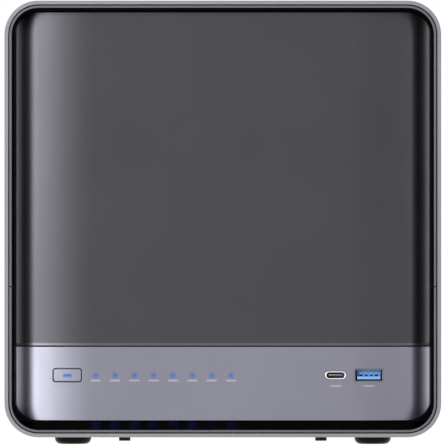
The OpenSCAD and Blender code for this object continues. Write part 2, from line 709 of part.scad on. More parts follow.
// A fan stands on its back: its motor plate is at z = 0 and air leaves there
shaft_d = 3;
bearing_d = 8;
module fan_case(size, t, holes, hub) difference() {
    union() {
        linear_extrude(t) difference() {
            rounded_rect(size, size, 4);
            circle(d = size - 4);
        }
        cylinder(d = hub, h = 2.4);
        for (a = [0:90:270]) rotate(a + 20) translate([0, -1.5, 0]) cube([size / 2 - 1, 3, 2.4]);
        cylinder(d = bearing_d, h = t - 5);
    }
    translate([0, 0, -eps]) cylinder(d = shaft_d + 2 * running, h = t);
    for (x = [-1, 1], y = [-1, 1])
        translate([x * holes / 2, y * holes / 2, -eps]) cylinder(d = screw_d + slip, h = t + 2 * eps);
}
// A curved blade: the wall of a tube that lies along the radius, kept between the hub and the tip
module fan_blade(r0, r1, w, h, t, bend) {
    chord = sqrt(w * w + h * h);
    rise = sqrt(bend * bend - chord * chord / 4);
    intersection() {
        difference() {
            cylinder(r = r1, h = h);
            translate([0, 0, -eps]) cylinder(r = r0 - 0.5, h = h + 2 * eps);
        }
        translate([0, -h / chord * rise, h / 2 + w / chord * rise]) rotate([0, 90, 0]) difference() {
            cylinder(r = bend, h = r1 + 5);
            translate([0, 0, -eps]) cylinder(r = bend - t, h = r1 + 6);
        }
        translate([0, -w / 2, 0]) cube([r1 + 5, w, h]);
    }
}
module fan_wheel(size, t, hub, blades) {
    z0 = 3.4;
    h = t - z0 - 1;
    difference() {
        translate([0, 0, z0]) cylinder(d = hub, h = h);
        translate([0, 0, z0 - eps]) cylinder(d = hub - 5, h = h - 2 + eps);
    }
    translate([0, 0, 1]) cylinder(d = shaft_d, h = t - 3);
    for (i = [0:blades - 1]) rotate(i * 360 / blades) translate([0, 0, z0 + 0.5])
        fan_blade(hub / 2, size / 2 - 3, size * 0.24, h - 1, size * 0.016, size * 0.33);
}
module rear_fan(side) translate([side * fan_x, rear_y, fan_z]) rotate([90, 0, 0]) children();
module fan_frame_left() color("#141416") rear_fan(-1) fan_case(fan_size, fan_t, fan_holes, hub_d);
module fan_frame_right() color("#141416") rear_fan(1) fan_case(fan_size, fan_t, fan_holes, hub_d);
module fan_rotor_left() color("#1d1d20") rear_fan(-1) fan_wheel(fan_size, fan_t, hub_d, 7);
module fan_rotor_right() color("#1d1d20") rear_fan(1) fan_wheel(fan_size, fan_t, hub_d, 7);

// ---- Board tray and computer ----

io_low = main_top;
lan_x = [-30, -12];
lan_w = 15.6;
lan_h = 13.4;
usb_rear_x = [10, 27];
usb_rear_w = 14.4;
usb_rear_h = 7.2;
video_x = 46;
video_w = 15;
video_h = 6;
inlet_in = 16;
inlet_x = inlet_in - main_x;
inlet_w = 14;
inlet_h = 11;
port_d = 20;
module port_opening(x, w, h) span(x - w / 2 - 0.2, x + w / 2 + 0.2, rear_y - eps, rear_y + rear_t + eps, io_low - 0.2, io_low + h + 0.2);
module board_tray() color("#505257") {
    difference() {
        span(-board_x, board_x, board_front, rear_y + rear_t, tray_z, tray_z + tray_sheet);
        // Open notches let the tray leave the lock screws
        for (x = [-lock_x, lock_x]) {
            span(x - 2, x + 2, board_front - eps, lock_y, tray_z - eps, tray_z + tray_sheet + eps);
            translate([x, lock_y, tray_z - eps]) cylinder(r = 2, h = tray_sheet + 2 * eps);
        }
        for (x = [-1, 1], i = [0:intake_rows - 1])
            translate([x * (intake_l / 2 + 3), cooler_y + (i - (intake_rows - 1) / 2) * intake_pitch, tray_z - eps])
                linear_extrude(tray_sheet + 2 * eps) slot_shape(intake_l, intake_w);
    }
    for (x = [-1, 1]) scale_x(x) span(board_x - tray_sheet, board_x, board_front, rear_y + eps, tray_z + tray_sheet / 2, tray_z + 12);
    // Standoffs under the mainboard
    for (x = [-1, 1], y = [main_back - main_l + 6, main_back - 6])
        translate([x * (main_x - 6), y, tray_z + tray_sheet / 2]) cylinder(d = 6, h = standoff_h + tray_sheet / 2);
    // Rear plate with the port openings
    difference() {
        along_y(rear_y, rear_y + rear_t) intersection() {
            case_outline(shell_wall + slip);
            side_band(0, deck_z - slip);
        }
        for (x = lan_x) port_opening(x, lan_w, lan_h);
        for (x = usb_rear_x) port_opening(x, usb_rear_w, usb_rear_h);
        port_opening(video_x, video_w, video_h);
        port_opening(inlet_x, inlet_w, inlet_h);
        for (i = [0:17]) along_y(rear_y - eps, rear_y + rear_t + eps)
            translate([(i - 8.5) * 8, deck_z - 20]) slot_shape(3.4, 22);
    }
}
module mainboard() color("#14432f") difference() {
    span(-main_x, main_x, main_back - main_l, main_back, main_z, main_top);
    for (x = [-1, 1], y = [main_back - main_l + 6, main_back - 6])
        translate([x * (main_x - 6), y, main_z - eps]) cylinder(d = 3, h = board_t + 2 * eps);
}
sink_w = 76;
sink_h = 24;
fins = 19;
fin_t = 1.2;
module heatsink() color("#b4b6ba") {
    span(-15, 15, cooler_y - 15, cooler_y + 15, main_top, main_top + 2.4);
    span(-sink_w / 2, sink_w / 2, cooler_y - sink_l / 2, cooler_y + sink_l / 2, main_top + 2, main_top + 6);
    for (i = [0:fins - 1]) {
        x = -sink_w / 2 + i * (sink_w - fin_t) / (fins - 1);
        span(x, x + fin_t, cooler_y - sink_l / 2, cooler_y + sink_l / 2, main_top + 5.8, main_top + sink_h);
    }
}
cpu_fan_z = main_top + sink_h;
module cpu_fan_frame() color("#141416") translate([0, cooler_y, cpu_fan_z])
    fan_case(cpu_fan_size, cpu_fan_t, cpu_fan_size - 10, 26);
module cpu_fan_rotor() color("#1d1d20") translate([0, cooler_y, cpu_fan_z])
    fan_wheel(cpu_fan_size, cpu_fan_t, 26, 7);

stick_l = 80;
storage_in = 14;
storage_x = storage_in - main_x;
// Two memory modules lie one over the other in their sockets
memory_x = storage_x + stick_l + 4;
memory_l = main_x - 2.4 - memory_x;
memory_chips = 4;
chip_pitch = (memory_l - 3) / memory_chips;
memory_step = 4.6;
memory_lift = 3;
memory_t = 1.2;
chip_w = 12;
chip_t = 1.1;
module memory_modules() color("#1f4a37") for (z = [main_top, main_top + memory_step]) {
    span(memory_x, memory_x + memory_l, memory_y - memory_w / 2, memory_y + memory_w / 2, z + memory_lift, z + memory_lift + memory_t);
    for (k = [0:memory_chips - 1])
        span(memory_x + 3 + k * chip_pitch, memory_x + k * chip_pitch + chip_pitch, memory_y - chip_w * 2 / 3, memory_y + chip_w / 3,
            z + memory_lift + memory_t - 0.1, z + memory_lift + memory_t - 0.1 + chip_t);
    span(memory_x, memory_x + memory_l - 1.6, memory_y + memory_w / 2 + 0.1, memory_y + memory_w / 2 + socket_w,
        main_top, z + memory_lift + memory_t + 0.8);
}
// A storage stick under its own finned cover, drawn along X from the middle of its end
stick_w = 22;
stick_fins = 7;
stick_body = 5;
stick_fin_h = 3.6;
stick_fin_t = 1.6;
stick_low = 5;
stick_gap = 7;
module storage_stick() {
    span(0, stick_l, -stick_w / 2, stick_w / 2, main_top, main_top + stick_body);
    for (k = [0:stick_fins - 1]) {
        y = -stick_w / 2 + k * (stick_w - stick_fin_t) / (stick_fins - 1);
        span(0, stick_l, y, y + stick_fin_t, main_top + stick_body - 0.1, main_top + stick_body + stick_fin_h);
    }
}
module storage_heatsinks() color("#77797e") {
    translate([storage_x, memory_y + stick_low - stick_w / 2, 0]) storage_stick();
    translate([storage_x, memory_y + stick_low + stick_gap, 0]) rotate(90) storage_stick();
}

module socket_block(x, w, h, wall, depth) difference() {
    span(x - w / 2, x + w / 2, rear_y + rear_t + 0.6 - port_d, rear_y + rear_t + 0.6, io_low, io_low + h);
    span(x - w / 2 + wall, x + w / 2 - wall, rear_y + rear_t + 0.6 - depth, rear_y + rear_t + 1, io_low + wall, io_low + h - wall);
}
module lan_ports() color("#b4b6ba") for (x = lan_x) difference() {
    socket_block(x, lan_w, lan_h, 1.9, 14);
    // Room for the plug's latch
    span(x - 2.8, x + 2.8, rear_y + rear_t + 0.6 - 12, rear_y + rear_t + 1, io_low + 0.8, io_low + 2.2);
}
module rear_ports() color("#b4b6ba") {
    for (x = usb_rear_x) {
        socket_block(x, usb_rear_w, usb_rear_h, 0.9, 16);
        span(x - 5.6, x + 5.6, rear_y + rear_t - 16, rear_y + rear_t - 1, io_low + 1.6, io_low + 3.4);
    }
    socket_block(video_x, video_w, video_h, 0.7, 12);
    span(video_x - 5.8, video_x + 5.8, rear_y + rear_t - 12, rear_y + rear_t - 0.6, io_low + 2.5, io_low + 3.6);
}
module power_inlet() color("#0f0f11") {
    difference() {
        span(inlet_x - inlet_w / 2, inlet_x + inlet_w / 2, rear_y + rear_t + 0.6 - port_d, rear_y + rear_t + 0.6, io_low, io_low + inlet_h);
        rod_y(inlet_x, io_low + inlet_h / 2, 7.4, rear_y + rear_t - 10, rear_y + rear_t + 1);
    }
    rod_y(inlet_x, io_low + inlet_h / 2, 2.5, rear_y + rear_t - 11, rear_y + rear_t - 0.4);
}

handle_in = 16;
handle_x = main_x - handle_in;
handle_z = (io_low + deck_z) / 2 - 8;
handle_l = 34;
handle_w = 5.4;
handle_t = 3.5;
handle_rod_d = 5;
module tray_handle() color("#8a8c90") translate([handle_x, 0, handle_z]) {
    for (z = [-1, 1])
        rod_y(0, z * (handle_l / 2 - 3), handle_rod_d, rear_y + rear_t, back - handle_t / 2 - 1.5);
    along_y(back - handle_t - 1.5, back - 1.5) slot_shape(handle_w, handle_l);
}

// ---- Lock screws ----

nut_z = tray_z + tray_sheet + slip;
nut_w = 8;
nut_t = 4;
module lock_screw(side) color("#121214") translate([side * lock_x, lock_y, 0]) {
    translate([0, 0, foot_h - lock_head_h]) cylinder(d = lock_head_d, h = lock_head_h - 0.05);
    translate([0, 0, foot_h - 0.1]) cylinder(d = lock_shank_d, h = nut_z + nut_t + 1 - foot_h);
    // Knurl
    for (a = [0:20:340]) rotate(a) translate([lock_head_d / 2, 0, foot_h - lock_head_h])
        cylinder(r = 0.16, h = lock_head_h - 0.05, $fn = 16);
}
module left_lock_screw() lock_screw(-1);
module right_lock_screw() lock_screw(1);
module clamp_nuts() color("#9a9ca0") for (x = [-lock_x, lock_x]) translate([x, lock_y, nut_z]) difference() {
    cylinder(d = nut_w, h = nut_t, $fn = 6);
    translate([0, 0, -eps]) cylinder(d = lock_shank_d + 2 * running, h = nut_t + 2 * eps);
}
module case_fasteners() {
    rear_screws();
    fan_screws();
    clamp_nuts();
}

outer_shell();
feet();
bezel_upper();
bezel_lower();
liner_upper();
liner_lower();
bay_frame();
frame_magnets();
lower_frame();
control_panel();
status_lights();
usb_c_port();
usb_c_tongue();
usb_a_port();
usb_a_tongue();
front_board();
power_switch();
power_button();
button_light();
front_cover();
cover_magnets();
drive_cage();
cage_top();
guide_rails();
backplane();
drive_connectors();
tray_1();
tray_2();
tray_3();
tray_4();
tray_5();
tray_side_1();
tray_side_2();
tray_side_3();
tray_side_4();
tray_side_5();
tray_lever_1();
tray_lever_2();
tray_lever_3();
tray_lever_4();
tray_lever_5();
rear_panel();
fan_frame_left();
fan_frame_right();
fan_rotor_left();
fan_rotor_right();
board_tray();
mainboard();
heatsink();
cpu_fan_frame();
cpu_fan_rotor();
memory_modules();
storage_heatsinks();
lan_ports();
rear_ports();
power_inlet();
tray_handle();
case_fasteners();
left_lock_screw();
right_lock_screw();
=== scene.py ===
"""Looks of a five-bay desktop storage enclosure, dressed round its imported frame.

The cover and the control panel with their curved plan, the button, the lights, the marks and the
ports are built anew as numpy surfaces.  The sleeve, the grey ring and the liner are smoothly shaded
copies of their frame nodes.  Everything else keeps its frame shape and gets soft edges and a
finish of its own.
"""
import json
import logging
import math
from dataclasses import dataclass, field, replace
from enum import Enum
from functools import reduce
from typing import Any, Callable, Iterable, Sequence

import bmesh
import bpy
import numpy as np
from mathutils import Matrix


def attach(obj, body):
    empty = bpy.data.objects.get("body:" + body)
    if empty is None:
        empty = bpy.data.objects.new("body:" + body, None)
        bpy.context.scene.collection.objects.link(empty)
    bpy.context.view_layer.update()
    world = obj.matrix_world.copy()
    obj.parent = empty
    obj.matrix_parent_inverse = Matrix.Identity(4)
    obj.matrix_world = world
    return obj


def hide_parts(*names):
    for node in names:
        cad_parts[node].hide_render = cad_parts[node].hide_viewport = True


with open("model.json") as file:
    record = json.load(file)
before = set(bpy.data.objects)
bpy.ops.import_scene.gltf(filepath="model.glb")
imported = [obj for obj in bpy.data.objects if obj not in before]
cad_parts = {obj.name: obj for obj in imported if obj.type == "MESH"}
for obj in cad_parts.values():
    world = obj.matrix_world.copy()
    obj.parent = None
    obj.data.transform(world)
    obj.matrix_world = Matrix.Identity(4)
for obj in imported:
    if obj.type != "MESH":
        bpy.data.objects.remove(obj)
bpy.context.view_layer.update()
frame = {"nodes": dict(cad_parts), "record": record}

MM = 0.001
ROW_Z = 31.6 * MM  # height of the button, the lights and the ports
BUTTON_X = -70.9 * MM
LIGHTS_X = tuple(-58 * MM + number * (8.82 * MM) for number in range(8))
log = logging.getLogger("enclosure")

Array = np.ndarray
Colour = tuple[float, float, float]
Place = tuple[float, float, float]


# ---- shader arithmetic


NOISE_ROUGHNESS = 0.55


class Signal:
    """A shader socket that adds Math nodes when it is used in arithmetic."""

    def __init__(self, shader: "Shader", socket: bpy.types.NodeSocket) -> None:
        """Wraps one output socket of a shader."""
        self.shader = shader
        self.socket = socket

    def _math(self, operation: str, *terms: Any) -> "Signal":
        """Adds a Math node of that operation over the terms and returns its result."""
        node = self.shader.node("ShaderNodeMath", {"operation": operation}, dict(enumerate(terms)))
        return Signal(self.shader, node.outputs[0])

    def __add__(self, other: Any) -> "Signal":
        """This plus other."""
        return self._math("ADD", self, other)

    __radd__ = __add__

    def __mul__(self, other: Any) -> "Signal":
        """This times other."""
        return self._math("MULTIPLY", self, other)

    __rmul__ = __mul__

    def __sub__(self, other: Any) -> "Signal":
        """This minus other."""
        return self._math("SUBTRACT", self, other)

    def __rsub__(self, other: Any) -> "Signal":
        """Other minus this."""
        return self._math("SUBTRACT", other, self)

    def peak(self, other: Any) -> "Signal":
        """The larger of this and other."""
        return self._math("MAXIMUM", self, other)

    def zigzag(self, top: float) -> "Signal":
        """Up to top and down to 0 again, over and over, as this grows."""
        return self._math("PINGPONG", self, top)

    def ramp(self, low: float, high: float) -> "Signal":
        """A smooth step from 0 to 1.

        Args:
            low: the value up to which it is 0.
            high: the value from which it is 1.

        Returns:
            The step as a signal.
        """
        node = self.shader.node("ShaderNodeMapRange", {"interpolation_type": "SMOOTHSTEP"},
                                {"Value": self, "From Min": low, "From Max": high})
        return Signal(self.shader, node.outputs[0])


def square(signal: Signal) -> Signal:
    """A signal times itself."""
    return signal * signal


def highest(signals: Iterable[Signal]) -> Signal:
    """The largest of several signals."""
    return reduce(Signal.peak, signals)


class Shader:
    """The node tree of a material or a world, under construction."""

    def __init__(self, owner: bpy.types.Material | bpy.types.World) -> None:
        """Empties the owner's node tree.

        Args:
            owner: the material or the world.
        """
        owner.use_nodes = True
        self.owner = owner
        self.tree = owner.node_tree
        self.tree.nodes.clear()

    def node(self, kind: str, settings: dict[str, Any] | None = None,
             inputs: dict[Any, Any] | None = None) -> bpy.types.Node:
        """Adds a node.

        Args:
            kind: the node's type name.
            settings: its options, set before its sockets.
            inputs: socket name or number to a value, a Signal or a socket.

        Returns:
            The new node.
        """
        node = self.tree.nodes.new(kind)
        for name, value in (settings or {}).items():
            setattr(node, name, value)
        for name, value in (inputs or {}).items():
            if isinstance(value, Signal):
                value = value.socket
            if isinstance(value, bpy.types.NodeSocket):
                self.tree.links.new(value, node.inputs[name])
            else:
                node.inputs[name].default_value = value
        return node

    def place(self) -> bpy.types.NodeSocket:
        """The surface's position in metres, in the object's own frame."""
        return self.node("ShaderNodeTexCoord").outputs["Object"]

    def axis(self, name: str) -> Signal:
        """One coordinate of the surface's position."""
        return Signal(self, self.node("ShaderNodeSeparateXYZ", inputs={0: self.place()}).outputs[name])

    def noise(self, size: float, detail: float = 2.0, stretch: Place = (1.0, 1.0, 1.0)) -> Signal:
        """Soft noise from 0 to 1.

        Args:
            size: the size of its lumps, in metres.
            detail: how many finer layers it has.
            stretch: how much longer the lumps are along each axis.

        Returns:
            The noise as a signal.
        """
        scale = tuple(1.0 / s for s in stretch)
        spot = self.node("ShaderNodeMapping", inputs={"Vector": self.place(), "Scale": scale})
        noise = self.node("ShaderNodeTexNoise", inputs={
            "Vector": spot.outputs[0], "Scale": 1.0 / size, "Detail": detail, "Roughness": NOISE_ROUGHNESS})
        return Signal(self, noise.outputs[0])

    def cells(self, size: float) -> Signal:
        """Distance to the nearest point of a cell pattern, from 0 in the middle of a cell."""
        cells = self.node("ShaderNodeTexVoronoi", inputs={"Vector": self.place(), "Scale": 1.0 / size})
        return Signal(self, cells.outputs["Distance"])

    def blend(self, factor: Any, low: Any, high: Any) -> bpy.types.NodeSocket:
        """A colour that goes from low to high as factor goes from 0 to 1.

        Args:
            factor: a number or a Signal.
            low: the colour at 0, or its socket.
            high: the colour at 1, or its socket.

        Returns:
            The mixed colour's socket.
        """
        node = self.node("ShaderNodeMix", {"data_type": "RGBA"}, {"Factor": factor})
        for number, colour in ((6, low), (7, high)):
            if isinstance(colour, bpy.types.NodeSocket):
                self.tree.links.new(colour, node.inputs[number])
            else:
                node.inputs[number].default_value = (*colour, 1.0)
        return node.outputs[2]

    def seen(self) -> Signal:
        """1 to the camera, in reflections and through clear pieces, and 0 to what is lit."""
        path = self.node("ShaderNodeLightPath")
        return highest(Signal(self, path.outputs[f"Is {kind} Ray"]) for kind in ("Camera", "Glossy", "Transmission"))

    def bump(self, height: Signal, depth: float) -> bpy.types.NodeSocket:
        """Normals of a relief of that depth, in metres."""
        return self.node("ShaderNodeBump", inputs={"Height": height, "Distance": depth,
                                                   "Strength": 1.0}).outputs[0]

    def finish(self, inputs: dict[str, Any]) -> bpy.types.Material:
        """Ends the material in one principled surface with those inputs.

        Args:
            inputs: the surface's socket names and their values, Signals or sockets.

        Returns:
            The material.
        """
        surface = self.node("ShaderNodeBsdfPrincipled", inputs=inputs)
        self.node("ShaderNodeOutputMaterial", inputs={"Surface": surface.outputs[0]})
        return self.owner


# ---- finishes


def scaled(colour: Colour, factor: float) -> Colour:
    """A colour made lighter or darker by a factor."""
    return tuple(min(1.0, c * factor) for c in colour)


MADE: dict[Any, bpy.types.Material] = {}
MOTTLE_SIZE, SMUDGE_SIZE = 26 * MM, 34 * MM
COAT_ROUGHNESS = 0.08


@dataclass(frozen=True)
class Finish:
    """A surface with a fine grain, a faint unevenness of colour and a slightly uneven gloss.

    Attributes:
        name: the material's name.
        colour: its linear colour.
        roughness: its roughness.
        metallic: how metallic it is.
        coat: weight of its clear coat.
        grain: size of its grain, in metres.
        relief: depth of the grain, in metres.
        mottle: how much its colour varies.
        smudge: how much its roughness varies.
        specular: level of its plain reflection.
    """

    name: str
    colour: Colour
    roughness: float = 0.5
    metallic: float = 0.0
    coat: float = 0.0
    grain: float = 0.35 * MM
    relief: float = 0.012 * MM
    mottle: float = 0.05
    smudge: float = 0.06
    specular: float = 0.5

    def tint(self, shader: Shader) -> bpy.types.NodeSocket:
        """The colour socket: the finish's own colour with its unevenness."""
        return shader.blend(shader.noise(MOTTLE_SIZE, 3.0), scaled(self.colour, 1 - self.mottle),
                            scaled(self.colour, 1 + self.mottle))

    def gloss(self, shader: Shader) -> Signal:
        """The roughness signal, a little uneven like a handled surface."""
        return shader.noise(SMUDGE_SIZE, 4.0) * (2 * self.smudge) + (self.roughness - self.smudge)

    def height(self, shader: Shader) -> Signal:
        """The relief of the grain."""
        return shader.noise(self.grain)

    def extra(self, shader: Shader) -> dict[str, Any]:
        """Further inputs of the surface that a kind of finish adds."""
        return {}

    def build(self) -> bpy.types.Material:
        """Makes the material, or returns the one made before.

        Returns:
            The material.
        """
        if self in MADE:
            return MADE[self]
        shader = Shader(bpy.data.materials.new(self.name))
        inputs = {
            "Base Color": self.tint(shader), "Roughness": self.gloss(shader),
            "Metallic": self.metallic, "Specular IOR Level": self.specular,
            "Coat Weight": self.coat, "Coat Roughness": COAT_ROUGHNESS,
            "Normal": shader.bump(self.height(shader), self.relief),
        }
        inputs.update(self.extra(shader))
        MADE[self] = shader.finish(inputs)
        return MADE[self]


@dataclass(frozen=True)
class Moulded(Finish):
    """Spark-eroded moulded plastic: a grain of round pebbles with a finer noise, in their shares."""

    grain: float = 0.4 * MM
    pebbles: float = 0.8
    fine: float = 0.2

    def height(self, shader: Shader) -> Signal:
        """Round pebbles of the grain's size under a finer noise."""
        return shader.cells(self.grain) * self.pebbles + shader.noise(self.grain / 3, 1.0) * self.fine


@dataclass(frozen=True)
class Brushed(Finish):
    """Rolled or brushed sheet metal with fine lines along one axis."""

    lines: Place = (1.0, 1.0, 30.0)

    def height(self, shader: Shader) -> Signal:
        """Fine scratches drawn out along the sheet's rolling direction."""
        return shader.noise(self.grain, 2.0, self.lines)


@dataclass(frozen=True)
class Solder(Finish):
    """A circuit board: green resist over copper traces that run at right angles.

    Attributes:
        pitch: distance of the traces, in metres.
        patch: size of the fields that have traces.
        stripe: where a trace's edge starts and ends, in pitches.
        spread: where a field starts and is full, in the noise's values.
        gain: how much lighter the traces are.
    """

    pitch: float = 1.7 * MM
    patch: float = 9 * MM
    stripe: tuple[float, float] = (0.36, 0.42)
    spread: tuple[float, float] = (0.5, 0.56)
    gain: float = 2.1

    def traces(self, shader: Shader) -> Signal:
        """1 on the copper traces: thin stripes broken up by a coarse noise."""
        return highest((shader.axis(axis) * (1 / self.pitch)).zigzag(0.5).ramp(*self.stripe)
                       * shader.noise(self.patch, 1.0).ramp(*self.spread) for axis in ("X", "Y", "Z"))

    def tint(self, shader: Shader) -> bpy.types.NodeSocket:
        """Green, lighter where the copper lies under the resist."""
        return shader.blend(self.traces(shader), self.colour, scaled(self.colour, self.gain))


@dataclass(frozen=True)
class Lit(Finish):
    """A lit plastic light guide: its glow, the size of its lumps and how bright the dim ones are."""

    glow: Colour = (0.036, 0.076, 0.25)
    lump: float = 0.8 * MM
    dim: float = 0.9

    def extra(self, shader: Shader) -> dict[str, Any]:
        """The light it gives, a little stronger in the middle of its lumps."""
        tone = shader.blend(shader.noise(self.lump, 1.0), scaled(self.glow, self.dim), self.glow)
        return {"Emission Color": tone, "Emission Strength": 1.0}


@dataclass(frozen=True)
class Trimmed(Finish):
    """Satin metal whose outer rims and lower chamfer, where it has one, carry painted highlights.

    Attributes:
        rims: how far out the rims' painted highlight starts and is full, in metres.
        rim_highlight_gain: how much lighter the rims' painted highlight is.
        chamfer: height below which the lower chamfer lies, in metres.
        chamfer_highlight_gain: how much lighter the chamfer's painted highlight is.
        blur: how far the chamfer's tone fades above and below that height.
    """

    rims: tuple[float, float] = (90.6 * MM, 93.9 * MM)
    rim_highlight_gain: float = 2.7
    chamfer: float = 0.0
    chamfer_highlight_gain: float = 1.5
    blur: float = 0.05 * MM

    def tint(self, shader: Shader) -> bpy.types.NodeSocket:
        """The metal's colour, with painted highlights on the rims and the chamfer.

        Args:
            shader: the material under construction.

        Returns:
            The colour's socket.
        """
        x, z = shader.axis("X"), shader.axis("Z")
        start, full = self.rims
        # painted highlight on the rims, full towards the sides
        rim = square(x).ramp(start ** 2, full ** 2)
        tone = shader.blend(rim, Finish.tint(self, shader), scaled(self.colour, self.rim_highlight_gain))
        if not self.chamfer:
            return tone
        # painted highlight on the lower chamfer
        chamfer_highlight = 1.0 - z.ramp(self.chamfer - self.blur, self.chamfer + self.blur)
        return shader.blend(chamfer_highlight, tone, scaled(self.colour, self.chamfer_highlight_gain))


@dataclass(frozen=True)
class Panel(Trimmed):
    """The silver control panel, with a faint blue painted glow of the lit lights round each of them.

    Attributes:
        lights: where the lights stand, as x and z in metres.
        spill: radius of the painted glow.
        spill_fade: shares of the radius squared between which it fades out.
        spill_share: how strong it is at a light.
        painted_spill_colour: the painted glow's colour.
    """

    lights: tuple[tuple[float, float], ...] = ()
    spill: float = 1.95 * MM
    spill_fade: tuple[float, float] = (0.15, 1.0)
    spill_share: float = 0.9
    painted_spill_colour: Colour = (0.115, 0.170, 0.36)
    rims: tuple[float, float] = (89.0 * MM, 93.4 * MM)

    def painted_spill_mask(self, shader: Shader) -> Signal:
        """The painted glow's mask: 1 at a light, falling smoothly to 0 at the spill's radius.

        Args:
            shader: the material under construction.

        Returns:
            The spill as a signal.
        """
        x, z = shader.axis("X"), shader.axis("Z")
        away = (square(x - light_x) + square(z - light_z) for light_x, light_z in self.lights)
        return highest(1.0 - (distance * (1 / self.spill ** 2)).ramp(*self.spill_fade) for distance in away)

    def tint(self, shader: Shader) -> bpy.types.NodeSocket:
        """The metal's colour, with a painted blue glow close to the lights."""
        # painted blue glow of the lights blended into the metal's colour
        return shader.blend(self.painted_spill_mask(shader) * self.spill_share, Trimmed.tint(self, shader),
                            self.painted_spill_colour)


@dataclass(frozen=True)
class Chin(Finish):
    """Black gloss plastic with a faint painted reflection of the row of lights, a glow in its sloping sill.

    Attributes:
        lights: the x of each light, in metres.
        reach: half the width of one light's painted streak.
        top: height up to which the streaks show.
        blur: how far above it they fade out.
        depths: the depths between which they fade out to the rear.
        patch: size of the patches that break them up.
        spread: where a patch starts and is full, in the noise's values.
        painted_reflection_colour: the painted reflection's colour.
    """

    lights: tuple[float, ...] = ()
    reach: float = 3.0 * MM
    top: float = 12 * MM
    blur: float = 1 * MM
    depths: tuple[float, float] = (-118 * MM, -114 * MM)
    patch: float = 14 * MM
    spread: tuple[float, float] = (0.3, 0.62)
    painted_reflection_colour: Colour = (0.0014, 0.0022, 0.020)

    def extra(self, shader: Shader) -> dict[str, Any]:
        """The painted reflection, as faint blue streaks of glow: 1 below a light, falling to 0 beside it and above the
        sill.

        Args:
            shader: the material under construction.

        Returns:
            The inputs that make it glow.
        """
        x, low = shader.axis("X"), 1.0 - shader.axis("Z").ramp(self.top, self.top + self.blur)
        front = 1.0 - shader.axis("Y").ramp(*self.depths)
        near = highest(1.0 - (square(x - place) * (1 / self.reach ** 2)).ramp(0.0, 1.0) for place in self.lights)
        fade = shader.noise(self.patch, 1.0).ramp(*self.spread)
        # glow of the painted reflection
        tone = shader.blend(near * low * front * fade, (0.0, 0.0, 0.0), self.painted_reflection_colour)
        return {"Emission Color": tone, "Emission Strength": 1.0}


SLEEVE = Finish("sleeve_anodised", (0.27, 0.266, 0.294), 0.36, metallic=0.92, grain=0.28 * MM)
RING = Finish("ring_satin_grey", (0.135, 0.135, 0.147), 0.42, metallic=0.35, grain=0.3 * MM)
# the liner's sill carries a painted reflection of the lights
GLOSS_BLACK = Chin("liner_gloss_black", (0.0008, 0.0008, 0.001), 0.28, relief=0.002 * MM, smudge=0.03, specular=0.02,
                   lights=LIGHTS_X)
# painted highlights on the cover's rims and on its lower chamfer
COVER = Trimmed("cover_dark_metal", (0.058, 0.0568, 0.0640), 0.37, metallic=0.9, grain=0.25 * MM, mottle=0.03,
                rim_highlight_gain=3.4, chamfer=46.28 * MM, chamfer_highlight_gain=1.75)
# the panel carries painted highlights on its rims and a painted blue glow round the lights
PANEL_METAL = Panel("panel_metal", (0.21, 0.209, 0.252), 0.38, metallic=0.9, grain=0.25 * MM, mottle=0.03,
                    lights=tuple((x, ROW_Z) for x in LIGHTS_X))
# the button carries a painted blue glow round its lit bar
BUTTON_METAL = replace(PANEL_METAL, name="button_metal", spill=1.25 * MM,
                       lights=tuple((BUTTON_X + x * MM, 31.25 * MM) for x in (-1.3, 0.0, 1.3)))
PORT_RIM = Finish("port_rim_steel", (0.78, 0.78, 0.83), 0.42, metallic=1.0, grain=0.15 * MM, relief=0.003 * MM)
PORT_EDGE = replace(PORT_RIM, name="port_edge_steel", colour=(0.30, 0.30, 0.34))
PORT_GREY = Moulded("port_grey_plastic", (0.040, 0.040, 0.043), 0.45)
RUBBER = Finish("foot_rubber_gloss", (0.002, 0.002, 0.0022), 0.2, grain=0.5 * MM, relief=0.004 * MM, specular=0.1)
FRAME_BLACK = Moulded("frame_black_plastic", (0.018, 0.018, 0.020), 0.55, grain=0.7 * MM, relief=0.03 * MM)
TRAY_BLACK = Moulded("tray_black_plastic", (0.024, 0.024, 0.026), 0.5, grain=0.6 * MM, relief=0.03 * MM)
LEVER_BLACK = Moulded("lever_black_plastic", (0.016, 0.016, 0.018), 0.38, grain=0.5 * MM, relief=0.02 * MM)
CAGE = Finish("cage_powder_coat", (0.055, 0.056, 0.060), 0.6, metallic=0.2, grain=0.5 * MM, relief=0.03 * MM)
REAR = Finish("rear_powder_coat", (0.016, 0.016, 0.018), 0.55, metallic=0.1, grain=0.5 * MM, relief=0.035 * MM)
NICKEL = Brushed("nickel_plate", (0.60, 0.60, 0.62), 0.25, metallic=1.0, grain=0.15 * MM, relief=0.004 * MM)
ZINC = Brushed("tray_zinc_sheet", (0.30, 0.305, 0.32), 0.42, metallic=0.9, grain=0.2 * MM, relief=0.006 * MM,
               lines=(1.0, 40.0, 1.0))
SINK = Brushed("sink_aluminium", (0.55, 0.56, 0.58), 0.35, metallic=1.0, grain=0.2 * MM, relief=0.008 * MM,
               lines=(1.0, 30.0, 1.0))
BLACK_SCREW = Finish("screw_black_oxide", (0.014, 0.014, 0.015), 0.35, metallic=0.8, mottle=0.15)
BOARD = Solder("board_green", (0.010, 0.060, 0.030), 0.35, coat=0.3, relief=0.01 * MM)
PORT_BLACK = Moulded("port_black_plastic", (0.012, 0.012, 0.013), 0.45)
PORT_BLUE = Moulded("port_blue_plastic", (0.16, 0.34, 0.72), 0.4)
FAN = Moulded("fan_black_plastic", (0.014, 0.014, 0.016), 0.42, grain=0.5 * MM)
# the port's blue plastic painted darker: painted shade on the back wall
PORT_BLUE_PAINTED_SHADE = Moulded("port_blue_painted_shade", (0.008, 0.025, 0.13), 0.45)
